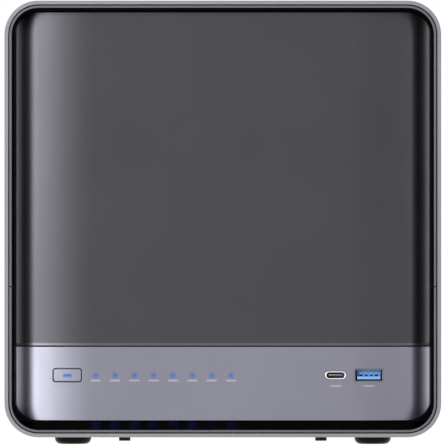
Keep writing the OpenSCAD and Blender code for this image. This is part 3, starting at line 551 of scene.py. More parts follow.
# the port's blue plastic painted lighter: painted light on the tongue and painted highlight on the contacts
PORT_BLUE_PAINTED_LIGHT = Moulded("port_blue_painted_light", (0.26, 0.56, 0.98), 0.35)
PLATE_GREY = Finish("tongue_plate_grey", (0.30, 0.30, 0.32), 0.4, metallic=0.5)
GOLD = Brushed("contact_gold", (0.75, 0.55, 0.25), 0.3, metallic=1.0, grain=0.1 * MM, relief=0.002 * MM)
MARK = Finish("mark_pale_grey", (0.35, 0.345, 0.385), 0.4, metallic=0.9, grain=0.15 * MM, relief=0.004 * MM)
BLUE_LIGHT = Lit("status_light_guide", (0.02, 0.05, 0.2), 0.3)
BAR_LIGHT = replace(BLUE_LIGHT, name="bar_light_guide", glow=(0.045, 0.105, 0.36))


# ---- numpy surfaces


CORNER_STEPS, STRAIGHT_POINTS, ROLL_STEPS = 5, 5, 5
TINY, NONZERO = 1e-7, 1e-12


class Builder:
    """Collects grids of points and makes one mesh object of them.

    Points closer than the weld become one, and edges past the sharp angle in degrees stay sharp.
    """

    weld = 1e-6
    sharp = 35.0

    def __init__(self) -> None:
        """Starts with no points and no faces."""
        self.points: list[Array] = []
        self.faces: list[Sequence[int]] = []
        self.count = 0

    def grid(self, points: Array, closed_rows: bool = False, closed_columns: bool = False,
             keep: Array | None = None) -> None:
        """Adds a grid of points, with a face between each four neighbours.

        Args:
            points: an array of rows by columns by 3, in metres.
            closed_rows: whether the last row joins the first.
            closed_columns: whether the last column joins the first.
            keep: which faces are kept, by row and column; all of them where it is left out.
        """
        numbers = self.count + np.arange(points.size // 3).reshape(points.shape[:2])
        self.count += numbers.size
        if closed_rows:
            numbers = np.vstack([numbers, numbers[:1]])
        if closed_columns:
            numbers = np.hstack([numbers, numbers[:, :1]])
        corners = (numbers[:-1, :-1], numbers[1:, :-1], numbers[1:, 1:], numbers[:-1, 1:])
        faces = np.stack([c.ravel() for c in corners], axis=1)
        self.points.append(points.reshape(-1, 3))
        self.faces.extend((faces if keep is None else faces[keep.ravel()]).tolist())

    def fan(self, ring: Array) -> None:
        """Adds a flat cap over a closed ring of points.

        Args:
            ring: the points in order, in metres.
        """
        self.points.append(ring)
        self.faces.append(list(range(self.count, self.count + len(ring))))
        self.count += len(ring)

    def stack(self, rings: Sequence[Array], closed: bool = False) -> None:
        """Adds a skin over rings of points; flat caps end it, or the last ring joins the first.

        Args:
            rings: the rings in order, each with the same number of points.
            closed: whether the last ring joins the first.
        """
        self.grid(np.stack(rings), closed_rows=closed, closed_columns=True)
        if not closed:
            self.fan(rings[0])
            self.fan(rings[-1])

    def block(self, low: Array | Place, high: Array | Place, edge: float, corner: float = 0.0) -> None:
        """Adds a block with rounded edges.

        Its outline is a rounded rectangle in the front plane, and towards both ends it comes in
        by edge*(1 - cos t) as its depth runs on by edge*sin t.

        Args:
            low: its lowest corner.
            high: its highest corner.
            edge: radius of its edges.
            corner: radius of its outline's corners, the edge's own where it is left out.
        """
        low, high = np.asarray(low, dtype=float), np.asarray(high, dtype=float)
        middle, half = (low + high) / 2, (high - low) / 2
        edge = min(edge, 0.98 * half.min())
        outline = Outline(middle[0], middle[2], half[0], half[2], max(corner, edge))
        share = outline.round()
        ends = [(inset, low[1] + run) for inset, run in quarter(edge, 90, 0, 2)]
        ends += [(inset, high[1] - run) for inset, run in quarter(edge, 0, 90, 2)]
        self.stack([outline.ring(share, depth, -inset) for inset, depth in ends])

    def rod(self, x: float, z: float, radius: float, start: float, end: float) -> None:
        """Adds a round rod around x and z, from one depth to another."""
        outline = Outline(x, z, radius, radius, radius)
        self.stack([outline.ring(outline.round(), depth) for depth in (start, end)])

    def object(self, name: str) -> bpy.types.Object:
        """Makes the mesh object of that name and links it to the scene.

        Args:
            name: the piece's name.

        Returns:
            The object.
        """
        mesh = bpy.data.meshes.new(name)
        mesh.from_pydata(np.concatenate(self.points).tolist(), [], self.faces)
        work = bmesh.new()
        work.from_mesh(mesh)
        bmesh.ops.remove_doubles(work, verts=work.verts, dist=self.weld)
        bmesh.ops.dissolve_degenerate(work, edges=work.edges, dist=self.weld)
        bmesh.ops.recalc_face_normals(work, faces=work.faces)
        work.to_mesh(mesh)
        work.free()
        return shown(name, mesh, self.sharp)

    def settle(self, name: str, finish: Finish, body: str, slot: str, *stands_for: str) -> None:
        """Makes the mesh object and settles it as settle() does."""
        settle(self.object(name), finish, body, slot, *stands_for)


def shown(name: str, mesh: bpy.types.Mesh, sharp: float) -> bpy.types.Object:
    """Shades a mesh smooth but for its sharp edges and puts it in the scene.

    Args:
        name: the object's name.
        mesh: its mesh.
        sharp: the angle in degrees past which an edge stays sharp.

    Returns:
        The object.
    """
    mesh.shade_smooth()
    mesh.set_sharp_from_angle(angle=math.radians(sharp))
    piece = bpy.data.objects.new(name, mesh)
    bpy.context.scene.collection.objects.link(piece)
    return piece


def arc(start: float, end: float, steps: int) -> Array:
    """Angles in radians from start to end, both in degrees."""
    return np.radians(np.linspace(start, end, steps + 1))


def quarter(radius: float, start: float, end: float, steps: int) -> list[tuple[float, float]]:
    """r*(1 - cos t) and r*(1 - sin t) at each step of t from start to end, both in degrees."""
    return [(radius * (1 - math.cos(t)), radius * (1 - math.sin(t))) for t in arc(start, end, steps)]


@dataclass(frozen=True)
class Outline:
    """A rounded outline in the front plane: its middle, its half sizes and its corner radius.

    A patch of grid round it has the same middle.  A point on the patch's edge goes to the outline
    by the ratio of their half sizes, and in a corner it then moves to the corner's radius, along
    the line from the corner's centre.
    """

    x: float
    z: float
    half_width: float
    half_height: float
    radius: float

    def lines(self, width: bool, reach: float) -> Array:
        """Offsets of a patch's grid lines along one side, close together at the corners.

        Args:
            width: whether the side is the width; otherwise it is the height.
            reach: half the patch's size along it.

        Returns:
            The offsets from the middle, from -reach to reach.
        """
        half = self.half_width if width else self.half_height
        corner = (half - self.radius + self.radius * np.tan(arc(0, 45, CORNER_STEPS))) / half * reach
        inner = np.linspace(-corner[0], corner[0], STRAIGHT_POINTS)
        return np.unique(np.round(np.concatenate([-corner, inner, corner]), 9))

    def edge(self, share: Array, grow: float = 0.0) -> Array:
        """Points of the outline, grown by an amount, for points of a patch's edge.

        Args:
            share: the patch's points as x and z over its half sizes, each from -1 to 1.
            grow: how far the outline is moved outwards.

        Returns:
            Rows of x and z.
        """
        half = np.maximum(np.array([self.half_width, self.half_height]) + grow, TINY)
        radius = min(max(self.radius + grow, 0.0), half.min())
        point = share * half
        away = np.abs(point) - (half - radius)
        length = np.maximum(np.linalg.norm(away, axis=1), NONZERO)
        bent = half - radius + away * (radius / length)[:, None]
        cornered = (away > 0).all(axis=1)
        return np.where(cornered[:, None], np.sign(point) * bent, point) + np.array([self.x, self.z])

    def ring(self, share: Array, depth: Array | float, grow: float = 0.0) -> Array:
        """The outline's points for those shares, grown by an amount, at a depth."""
        return at_depth(self.edge(share, grow), depth)

    def round(self) -> Array:
        """Shares of a patch's edge, in order round it, for an outline on its own.

        Returns:
            Rows of x and z over the half sizes, each from -1 to 1.
        """
        x, z = self.lines(True, 1.0), self.lines(False, 1.0)
        return np.concatenate([np.stack([x[:-1], np.full(len(x) - 1, -1.0)], axis=1),
                               np.stack([np.ones(len(z) - 1), z[:-1]], axis=1),
                               np.stack([x[:0:-1], np.ones(len(x) - 1)], axis=1),
                               np.stack([np.full(len(z) - 1, -1.0), z[:0:-1]], axis=1)])


def at_depth(flat: Array, depth: Array | float) -> Array:
    """Gives an outline of x and z its depth y, one for all its points or one for each."""
    return np.stack([flat[:, 0], np.broadcast_to(depth, len(flat)), flat[:, 1]], axis=1)


def rolled(outline: Outline, front: Callable[[Array], Array], back: float, roll: float) -> list[Array]:
    """Rings of a plug's side wall, from its back to its rolled front edge.

    Args:
        outline: its outline.
        front: the depth of its front face at each x.
        back: the depth of its back.
        roll: radius of the roll: the ring comes in by roll*(1 - cos t) as its depth reaches the
            face by roll*(1 - sin t).

    Returns:
        The rings, all with the same number of points.
    """
    share = outline.round()
    rings = [outline.ring(share, back)]
    for inset, run in quarter(roll, 0, 90, ROLL_STEPS):
        flat = outline.edge(share, -inset)
        rings.append(at_depth(flat, front(flat[:, 0]) + run))
    return rings


# ---- dressing


WELD = 0.002 * MM
EDGE_STEPS, EDGE_ANGLE, FLAT_ANGLE = 2, 40.0, 0.5


def soften(piece: bpy.types.Object, width: float, segments: int, angle: float) -> None:
    """Rounds a piece's edges by a live bevel and keeps its faces flat.

    Args:
        piece: the object.
        width: how wide its edges are rounded, in metres.
        segments: how many steps the rounding has.
        angle: the angle in degrees past which an edge is rounded.
    """
    bevel = piece.modifiers.new("soft_edges", "BEVEL")
    bevel.width, bevel.segments, bevel.harden_normals = width, segments, True
    bevel.limit_method, bevel.angle_limit = "ANGLE", math.radians(angle)


def dress(node: str, finish: Finish, edge: float) -> None:
    """Gives a frame node its finish, and softened edges where edge, in metres, isn't 0.

    Args:
        node: the node.
        finish: its finish.
        edge: how wide its edges are rounded, in metres; 0 leaves them.
    """
    piece = frame["nodes"][node]
    if not piece.material_slots:
        piece.data.materials.append(None)
    for slot in piece.material_slots:
        slot.material = finish.build()
    if edge:
        piece.modifiers.new("weld", "WELD").merge_threshold = WELD
        soften(piece, edge, EDGE_STEPS, EDGE_ANGLE)
    log.info("dressed %s in %s", node, finish.name)


def settle(piece: bpy.types.Object, finish: Finish, body: str, slot: str, *stands_for: str) -> None:
    """Finishes a new piece and ties it to its body.

    Args:
        piece: the new object.
        finish: its finish.
        body: the body it rides on.
        slot: the material slot its finish comes from; not used.
        stands_for: the frame nodes that it replaces.
    """
    piece.data.materials.clear()
    piece.data.materials.append(finish.build())
    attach(piece, body)
    if stands_for:
        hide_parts(*stands_for)
    log.info("built %s on %s, %d faces", piece.name, body, len(piece.data.polygons))


def smooth_copy(node: str, finish: Finish, edge: float, segments: int = EDGE_STEPS,
                sharp: float = 32.0) -> None:
    """Stands a merged, smoothly shaded copy of a frame node in its place.

    Args:
        node: the node.
        finish: its finish.
        edge: how wide its edges are rounded, in metres.
        segments: how many steps the rounding has.
        sharp: the angle in degrees past which an edge stays sharp.
    """
    source, record = frame["nodes"][node], frame["record"]
    mesh = source.data.copy()
    work = bmesh.new()
    work.from_mesh(mesh)
    bmesh.ops.remove_doubles(work, verts=work.verts, dist=WELD)
    bmesh.ops.dissolve_limit(work, angle_limit=math.radians(FLAT_ANGLE), verts=work.verts, edges=work.edges)
    work.to_mesh(mesh)
    work.free()
    piece = shown(f"{node}_finished", mesh, sharp)
    soften(piece, edge, segments, sharp)
    body = next(name for name, members in record["behaviour"]["bodies"].items() if node in members)
    slot = next(part["material_slot"] for part in record["subparts"] if part["node"] == node)
    settle(piece, finish, body, slot, node)


# ---- sleeve, ring and liner


@dataclass
class Sleeve:
    """The aluminium sleeve: a rounded square tube with fine chamfers on both rims."""

    chamfer: float = 0.45 * MM

    def build(self) -> None:
        """Keeps the frame's sleeve with its floor slots, with softened rims."""
        smooth_copy("outer_shell", SLEEVE, self.chamfer, 3)


@dataclass
class Surround:
    """The grey ring and the black liner in their upper and lower halves."""

    edge: float = 0.18 * MM

    def build(self) -> None:
        """Dresses the four pieces of the surround."""
        for node in ("bezel_upper", "bezel_lower"):
            smooth_copy(node, RING, self.edge)
        for node in ("liner_upper", "liner_lower"):
            smooth_copy(node, GLOSS_BLACK, self.edge)


# ---- front cover and control panel


class Rim(Enum):
    """How a moulding's upper or lower edge runs."""

    STRAIGHT = "straight"
    CORNERED = "cornered"


@dataclass(frozen=True)
class FacePlan:
    """Plan of the cover and the panel, seen from above.

    It is flat in the middle, then follows a slow arc, then a tight one, and flares out again in
    a hollow arc to a narrow rim with a small round edge.  A point on an arc is its centre plus the
    radius times (sin a, -cos a), where a is the angle that the plan has turned through.
    The steps are those of the tight arc, the flare and the rim.
    """

    half_width: float = 94.65 * MM
    front: float = -120.75 * MM
    back: float = -102.195 * MM
    crown_x: float = 59.5447 * MM
    crown_r: float = 100 * MM
    crown_turn: float = 14.0
    edge_r: float = 24 * MM
    edge_turn: float = 28.0
    flare_end: float = 0.0
    rim_r: float = 0.45 * MM
    steps: tuple[int, int, int] = (14, 12, 6)

    def depth(self, x: Array, inset: float = 0.0) -> Array:
        """Depth of the flat middle and the slow arc at each x, moved in by the inset."""
        past = np.maximum(np.abs(x) - self.crown_x, 0.0)
        return self.front + self.crown_r - np.sqrt((self.crown_r - inset) ** 2 - past ** 2)

    def lay(self, flat: Array, behind: float = 0.0) -> Array:
        """Lays an outline of x and z on the flat middle and the slow arc, or a distance behind."""
        return at_depth(flat, self.depth(flat[:, 0]) + behind)

    def half(self, lines: Array) -> Array:
        """The right half of the plan.

        Args:
            lines: the x of each station in the middle and on the slow arc, from 0 outwards.

        Returns:
            Rows of x, y and turned angle, from the middle to the back of the side wall.
        """
        slow = np.stack([lines, self.depth(lines),
                         np.arcsin(np.maximum(lines - self.crown_x, 0.0) / self.crown_r)], axis=1)
        crown, between = math.radians(self.crown_turn), self.crown_r - self.edge_r
        edge_x = self.crown_x + between * math.sin(crown)
        edge_y = self.front + self.crown_r - between * math.cos(crown)
        turn = arc(self.crown_turn, self.edge_turn, self.steps[0])
        tight = np.stack([edge_x + self.edge_r * np.sin(turn), edge_y - self.edge_r * np.cos(turn), turn], axis=1)
        back = arc(self.edge_turn, self.flare_end, self.steps[1])[1:]
        drop = math.sin(back[-1])
        flare_r = ((self.half_width - tight[-1, 0] - self.rim_r * (1 - drop))
                   / (math.sin(turn[-1]) - drop))
        flare = np.stack([tight[-1, 0] + flare_r * (math.sin(turn[-1]) - np.sin(back)),
                          tight[-1, 1] - flare_r * (math.cos(turn[-1]) - np.cos(back)), back], axis=1)
        over = arc(self.flare_end, 90, self.steps[2])[1:]
        rim = np.stack([flare[-1, 0] + self.rim_r * (np.sin(over) - drop),
                        flare[-1, 1] + self.rim_r * (math.cos(back[-1]) - np.cos(over)), over], axis=1)
        side = np.array([[self.half_width, y, math.pi / 2] for y in np.linspace(rim[-1, 1], self.back, 4)[1:]])
        return np.vstack([slow, tight, flare, rim, side])

    def whole(self, left: Array, right: Array) -> Array:
        """The whole plan from left to right, with its own lines on each side."""
        other = self.half(left)[:0:-1] * np.array([-1.0, 1.0, -1.0])
        return np.vstack([other, self.half(right)])


@dataclass
class Moulding:
    """A hollow moulding open to the rear: the plan carried from a lower to an upper edge.

    Its height at a station goes from the lower to the upper limit, and where an edge is cornered
    the limit comes in by r - sqrt(r*r - d*d), with d how far the station lies past the corner's
    start.  At each edge the face rolls over in a quarter circle into a wall that runs to the back.
    Where there is a chamfer, the face runs slightly forward over its height before the lower roll.
    Round each opening a patch of the grid is left out, and rings go from the patch's edge over a
    small rounded lip, through the wall, to the same patch's edge on the inner face.
    """

    name: str
    low: float
    high: float
    low_rim: Rim
    high_rim: Rim
    low_roll: float
    high_roll: float
    chamfer: float = 0.0
    openings: tuple[Outline, ...] = ()
    plan: FacePlan = FacePlan()
    corner_r: float = 10.35 * MM
    wall: float = 2.2 * MM
    lip: float = 0.16 * MM
    margin: float = 1.2 * MM
    patch_half: float = 5.3 * MM
    chamfer_drop: float = -0.08 * MM
    slack: float = 0.3 * MM
    row_pitch: float = 6 * MM
    edge_row: float = 0.12 * MM
    same_row: float = 0.02 * MM
    chamfer_rows: tuple[float, ...] = (0.08, 0.92, 1.0)
    roll_steps: int = 6
    middle_lines: int = 13
    slow_lines: int = 17

    def limits(self, x: Array, inset: float) -> tuple[Array, Array]:
        """Lower and upper height of the face at each x, moved in by the inset.

        Args:
            x: where the stations lie.
            inset: how far the limits are moved in.

        Returns:
            The lower and the upper heights.
        """
        radius = self.corner_r - inset
        past = np.clip(np.abs(x) - (self.plan.half_width - self.corner_r), 0.0, radius)
        come_in = radius - np.sqrt(radius ** 2 - past ** 2)
        low = self.low + inset + (come_in if self.low_rim is Rim.CORNERED else 0.0)
        high = self.high - inset - (come_in if self.high_rim is Rim.CORNERED else 0.0)
        return low + 0.0 * x, high + 0.0 * x

    def thinned(self, lines: Array, own: Array) -> Array:
        """Grid lines with those near an opening's own lines given up for them."""
        clear = (lines < own[0] - self.slack) | (lines > own[-1] + self.slack)
        return np.unique(np.concatenate([lines[clear], own]))

    def stations(self) -> Array:
        """The plan, with each opening's own lines on its side.

        Returns:
            Rows of x, y and turned angle, from left to right.
        """
        slow_end = self.plan.crown_x + self.plan.crown_r * math.sin(math.radians(self.plan.crown_turn))
        plain = np.concatenate([np.linspace(0, self.plan.crown_x, self.middle_lines),
                                np.linspace(self.plan.crown_x, slow_end, self.slow_lines)[1:-1]])
        sides = {-1.0: plain, 1.0: plain}
        for opening in self.openings:
            side = math.copysign(1.0, opening.x)
            own = abs(opening.x) + opening.lines(True, opening.half_width + self.margin)
            sides[side] = self.thinned(sides[side], own)
        return self.plan.whole(sides[-1.0], sides[1.0])

    def levels(self) -> Array:
        """Heights of the face's rows between the rolled edges, as shares from 0 to 1.

        Returns:
            The shares, from the lower edge up.
        """
        low, high = self.low + max(self.low_roll, self.chamfer), self.high - self.high_roll
        rows = np.linspace(low, high, max(5, int((high - low) / self.row_pitch)))
        if self.openings:
            own = np.concatenate([o.z + o.lines(False, self.patch_half) for o in self.openings])
            own = np.sort(own)[np.insert(np.diff(np.sort(own)) > self.same_row, 0, True)]
            rows = self.thinned(rows, own)
        rows = np.insert(rows, [1, len(rows) - 1], [low + self.edge_row, high - self.edge_row])
        return (rows - low) / (high - low)

    def surface(self, inset: float) -> Array:
        """The outer or inner face with its walls, as rows from the lower back to the upper back.

        Args:
            inset: 0 for the outer face, the wall for the inner one.

        Returns:
            Points by row and station.
        """
        x, y, turn = self.stations().T
        if inset:
            reach = self.plan.half_width - inset
            x, y = np.clip(x - inset * np.sin(turn), -reach, reach), y + inset * np.cos(turn)
            middle = int(np.argmin(np.abs(x)))
            y = np.concatenate([np.maximum.accumulate(y[middle::-1])[:0:-1], np.maximum.accumulate(y[middle:])])
        low, high = self.limits(x, inset)
        low_roll, high_roll = max(self.low_roll - inset, 0.0), max(self.high_roll - inset, 0.0)
        face_low = low + max(low_roll, 0.0 if inset else self.chamfer)
        drop = 0.0 if inset or not self.chamfer else self.chamfer_drop
        rows = [(low, np.full_like(x, self.plan.back))]
        rows += [(low + rise, y + drop + run) for rise, run in quarter(low_roll, 0, 90, self.roll_steps)]
        for share in self.chamfer_rows:
            rows.append((low + low_roll + share * (face_low - low - low_roll), y + drop * (1 - share)))
        rows += [(face_low + share * (high - face_low - high_roll), y) for share in self.levels()[1:-1]]
        rows += [(high - fall, y + run) for fall, run in quarter(high_roll, 90, 0, self.roll_steps)]
        rows.append((high, np.full_like(x, self.plan.back)))
        return np.stack([np.stack([x, np.minimum(deep, self.plan.back), z], axis=1) for z, deep in rows])

    def patch(self, sheet: Array, opening: Outline) -> tuple[slice, slice]:
        """The rows and columns of faces that an opening's patch takes up in the outer sheet.

        Args:
            sheet: the outer sheet's points.
            opening: the opening.

        Returns:
            The rows and the columns.
        """
        middle = int(np.argmin(np.abs(sheet[len(sheet) // 2, :, 0])))
        rows = np.searchsorted(sheet[:, middle, 2], opening.z + self.patch_half * np.array([-1, 1]) - TINY)
        reach = opening.half_width + self.margin
        columns = np.searchsorted(sheet[len(sheet) // 2, :, 0], opening.x + reach * np.array([-1, 1]) - TINY)
        return slice(*rows), slice(*columns)

    def tunnel(self, opening: Outline, outer: Array, inner: Array, rows: slice, columns: slice) -> Array:
        """Rings from the patch's edge in front, over the lip and through the wall, to the one behind.

        Args:
            opening: the opening.
            outer: the outer sheet's points.
            inner: the inner sheet's points.
            rows: the patch's rows of faces.
            columns: its columns of faces.

        Returns:
            Points by ring.
        """
        a, b, c, d = rows.start, rows.stop, columns.start, columns.stop
        front, rear = (np.concatenate([s[a, c:d], s[a:b, d], s[b, d:c:-1], s[b:a:-1, c]]) for s in (outer, inner))
        reach = np.array([opening.half_width + self.margin, self.patch_half])
        share = np.clip((front[:, [0, 2]] - np.array([opening.x, opening.z])) / reach, -1, 1)
        rings = [front, self.plan.lay(opening.edge(share, 1.5 * self.lip))]
        rings += [self.plan.lay(opening.edge(share, grow), run) for run, grow in quarter(self.lip, 0, 90, 4)]
        flat = opening.edge(share)
        rings.append(at_depth(flat, self.plan.depth(flat[:, 0], self.wall)))
        rings.append(rear)
        return np.stack(rings)

    def into(self, builder: Builder) -> None:
        """Adds the moulding's faces to a builder.

        Args:
            builder: what collects them.
        """
        outer, inner = self.surface(0.0), self.surface(self.wall)
        keep = np.ones(np.array(outer.shape[:2]) - 1, dtype=bool)
        for opening in self.openings:
            rows, columns = self.patch(outer, opening)
            keep[rows, columns] = False
            builder.grid(self.tunnel(opening, outer, inner, rows, columns), closed_columns=True)
        for sheet in (outer, inner):
            builder.grid(sheet, keep=keep)
        for edge in (np.s_[0], np.s_[-1], np.s_[:, 0], np.s_[:, -1]):
            builder.grid(np.stack([outer[edge], inner[edge]]))


@dataclass
class FrontCover:
    """The pull-off cover: its skin, the posts that hold its magnets, and three ribs behind it.

    A post and its pocket have half a width, half a height and a corner radius each, and a rib has
    a depth and a height, and its place as a share of the cover's height.
    """

    skin: Moulding = field(default_factory=lambda: Moulding(
        "front_cover_skin", 45.1 * MM, 197.25 * MM, Rim.STRAIGHT, Rim.CORNERED, 0.12 * MM, 0.2 * MM,
        chamfer=1.2 * MM))
    post_x: float = 60 * MM
    post_z: tuple[float, ...] = (49.6 * MM, 193.85 * MM)
    post_size: tuple[float, float, float] = (10 * MM, 1.8 * MM, 0.5 * MM)
    post_roll: float = 0.2 * MM
    pocket_size: tuple[float, float, float] = (8.05 * MM, 1.25 * MM, 0.1 * MM)
    pocket_depth: float = 2.05 * MM
    post_end: float = -102.095 * MM
    rib: tuple[float, float] = (1.4 * MM, 1.4 * MM)
    rib_root: float = 0.2 * MM
    rib_edge: float = 0.25 * MM
    rib_places: tuple[float, ...] = (0.25, 0.5, 0.75)

    def post(self, builder: Builder, x: float, z: float) -> None:
        """Adds one post with the pocket for its magnet in the end.

        Args:
            builder: what collects its faces.
            x: the post's place across.
            z: its height.
        """
        outside, pocket = Outline(x, z, *self.post_size), Outline(x, z, *self.pocket_size)
        share = outside.round()
        rings = [outside.ring(share, self.skin.plan.front + self.skin.wall / 2)]
        rings += [outside.ring(share, self.post_end - run, -inset) for inset, run in quarter(self.post_roll, 0, 90, 3)]
        rings += [pocket.ring(share, self.post_end - deep) for deep in (0.0, self.pocket_depth)]
        builder.stack(rings)

    def build(self) -> None:
        """Builds the skin and what stands behind it."""
        builder = Builder()
        self.skin.into(builder)
        builder.settle(self.skin.name, COVER, "cover", "cover_grey", "front_cover")
        builder = Builder()
        for x in (-self.post_x, self.post_x):
            for z in self.post_z:
                self.post(builder, x, z)
        root, reach = self.skin.plan.front + self.skin.wall - self.rib_root, self.skin.plan.crown_x
        for share in self.rib_places:
            z = self.skin.low + share * (self.skin.high - self.skin.low)
            builder.block((-reach, root, z), (reach, root + self.rib[0], z + self.rib[1]), self.rib_edge)
        builder.settle("front_cover_posts", COVER, "cover", "cover_grey", "front_cover")


@dataclass
class PowerButton:
    """The metal power button with its lit bar, its flange and its stem."""

    plan: FacePlan = FacePlan()
    plate: Outline = Outline(BUTTON_X, ROW_Z, 6.3 * MM, 2.8 * MM, 1.0 * MM)
    slot: Outline = Outline(BUTTON_X, ROW_Z, 1.95 * MM, 0.475 * MM, 0.475 * MM)
    bar: Outline = Outline(BUTTON_X, ROW_Z, 1.93 * MM, 0.455 * MM, 0.455 * MM)
    roll: float = 0.22 * MM
    lip: float = 0.08 * MM
    face_rows: tuple[float, ...] = (0.0, 0.3, 0.6, 0.85, 1.0)
    bar_depth: float = 0.03 * MM
    bar_roll: float = 0.1 * MM
    flange: float = -116.28 * MM
    flange_wall: float = 1.2 * MM
    flange_reach: float = 1.3 * MM
    flange_edge: float = 0.2 * MM
    stem: float = 2.0 * MM
    stem_end: float = -111.05 * MM

    def build(self) -> None:
        """Builds the plate with its flange and stem, and the bar in its slot."""
        builder = Builder()
        share = self.plate.round()
        rings = rolled(self.plate, self.plan.depth, self.flange, self.roll)
        inset, rim = self.plate.edge(share, -self.roll - self.lip), self.slot.edge(share, 1.5 * self.lip)
        rings += [self.plan.lay(inset + (rim - inset) * step) for step in self.face_rows]
        rings += [self.plan.lay(self.slot.edge(share, grow), run) for run, grow in quarter(self.lip, 0, 90, 2)]
        rings.append(self.slot.ring(share, self.flange))
        builder.stack(rings, closed=True)
        middle, half = np.array([self.plate.x, self.flange, self.plate.z]), np.zeros(3)
        half[[0, 2]] = self.plate.half_width + self.flange_reach, self.plate.half_height + self.flange_reach
        builder.block(middle - half, middle + half + np.array([0.0, self.flange_wall, 0.0]),
                      self.flange_edge, self.plate.radius)
        builder.rod(self.plate.x, self.plate.z, self.stem, self.flange + self.flange_wall / 2, self.stem_end)
        builder.settle("power_button_plate", BUTTON_METAL, "button", "panel_silver", "power_button")
        builder = Builder()
        builder.stack(rolled(self.bar, lambda x: self.plan.depth(x) + self.bar_depth,
                             self.flange + self.bar_roll, self.bar_roll))
        builder.settle("power_button_bar", BAR_LIGHT, "button", "light_blue", "button_light")


@dataclass
class Port:
    """A metal socket in the panel: its shell and what is in it, counted from the shell's middle.

    Attributes:
        name: what the port's pieces are called.
        inner_slot: the material slot of what is in the shell.
        opening: the shell's inside.
        rim: the shell's wall.
        recess: how far the shell's front lies behind the panel's face.
        roll: radius of the shell's front edges.
    """

    name: str
    inner_slot: str
    opening: Outline
    rim: float
    recess: float = 0.1 * MM
    roll: float = 0.12 * MM
    back: float = -106.15 * MM
    plan: FacePlan = FacePlan()
    finish: Finish = PORT_RIM

    def mouth(self) -> float:
        """Depth of the shell's front."""
        return float(self.plan.depth(np.array(self.opening.x))) + self.recess

    def shell(self) -> None:
        """Builds the shell: a tube with both front edges rolled."""
        builder, share, front = Builder(), self.opening.round(), self.mouth()
        steps = [(self.back, self.rim)]
        steps += [(front + run, self.rim - inset) for inset, run in quarter(self.roll, 0, 90, 4)]
        steps += [(front + run, inset) for inset, run in quarter(self.roll, 90, 0, 4)]
        steps.append((self.back, 0.0))
        builder.stack([self.opening.ring(share, depth, grow) for depth, grow in steps], closed=True)
        builder.settle(f"{self.name}_shell", self.finish, "case", "connector_steel", f"{self.name}_port")

    def fill(self, part: str, finish: Finish, edge: float, *blocks: tuple[Place, Place]) -> None:
        """Builds one piece of blocks inside the shell.

        Args:
            part: what the piece is called.
            finish: its finish.
            edge: radius of the blocks' edges, in mm.
            blocks: lowest and highest corners, in mm, from the middle of the shell's mouth.
        """
        middle = np.array([self.opening.x, self.mouth(), self.opening.z])
        builder = Builder()
        for low, high in blocks:
            builder.block(middle + np.array(low) * MM, middle + np.array(high) * MM, edge * MM)
        builder.settle(f"{self.name}_{part}", finish, "case", self.inner_slot, f"{self.name}_tongue")


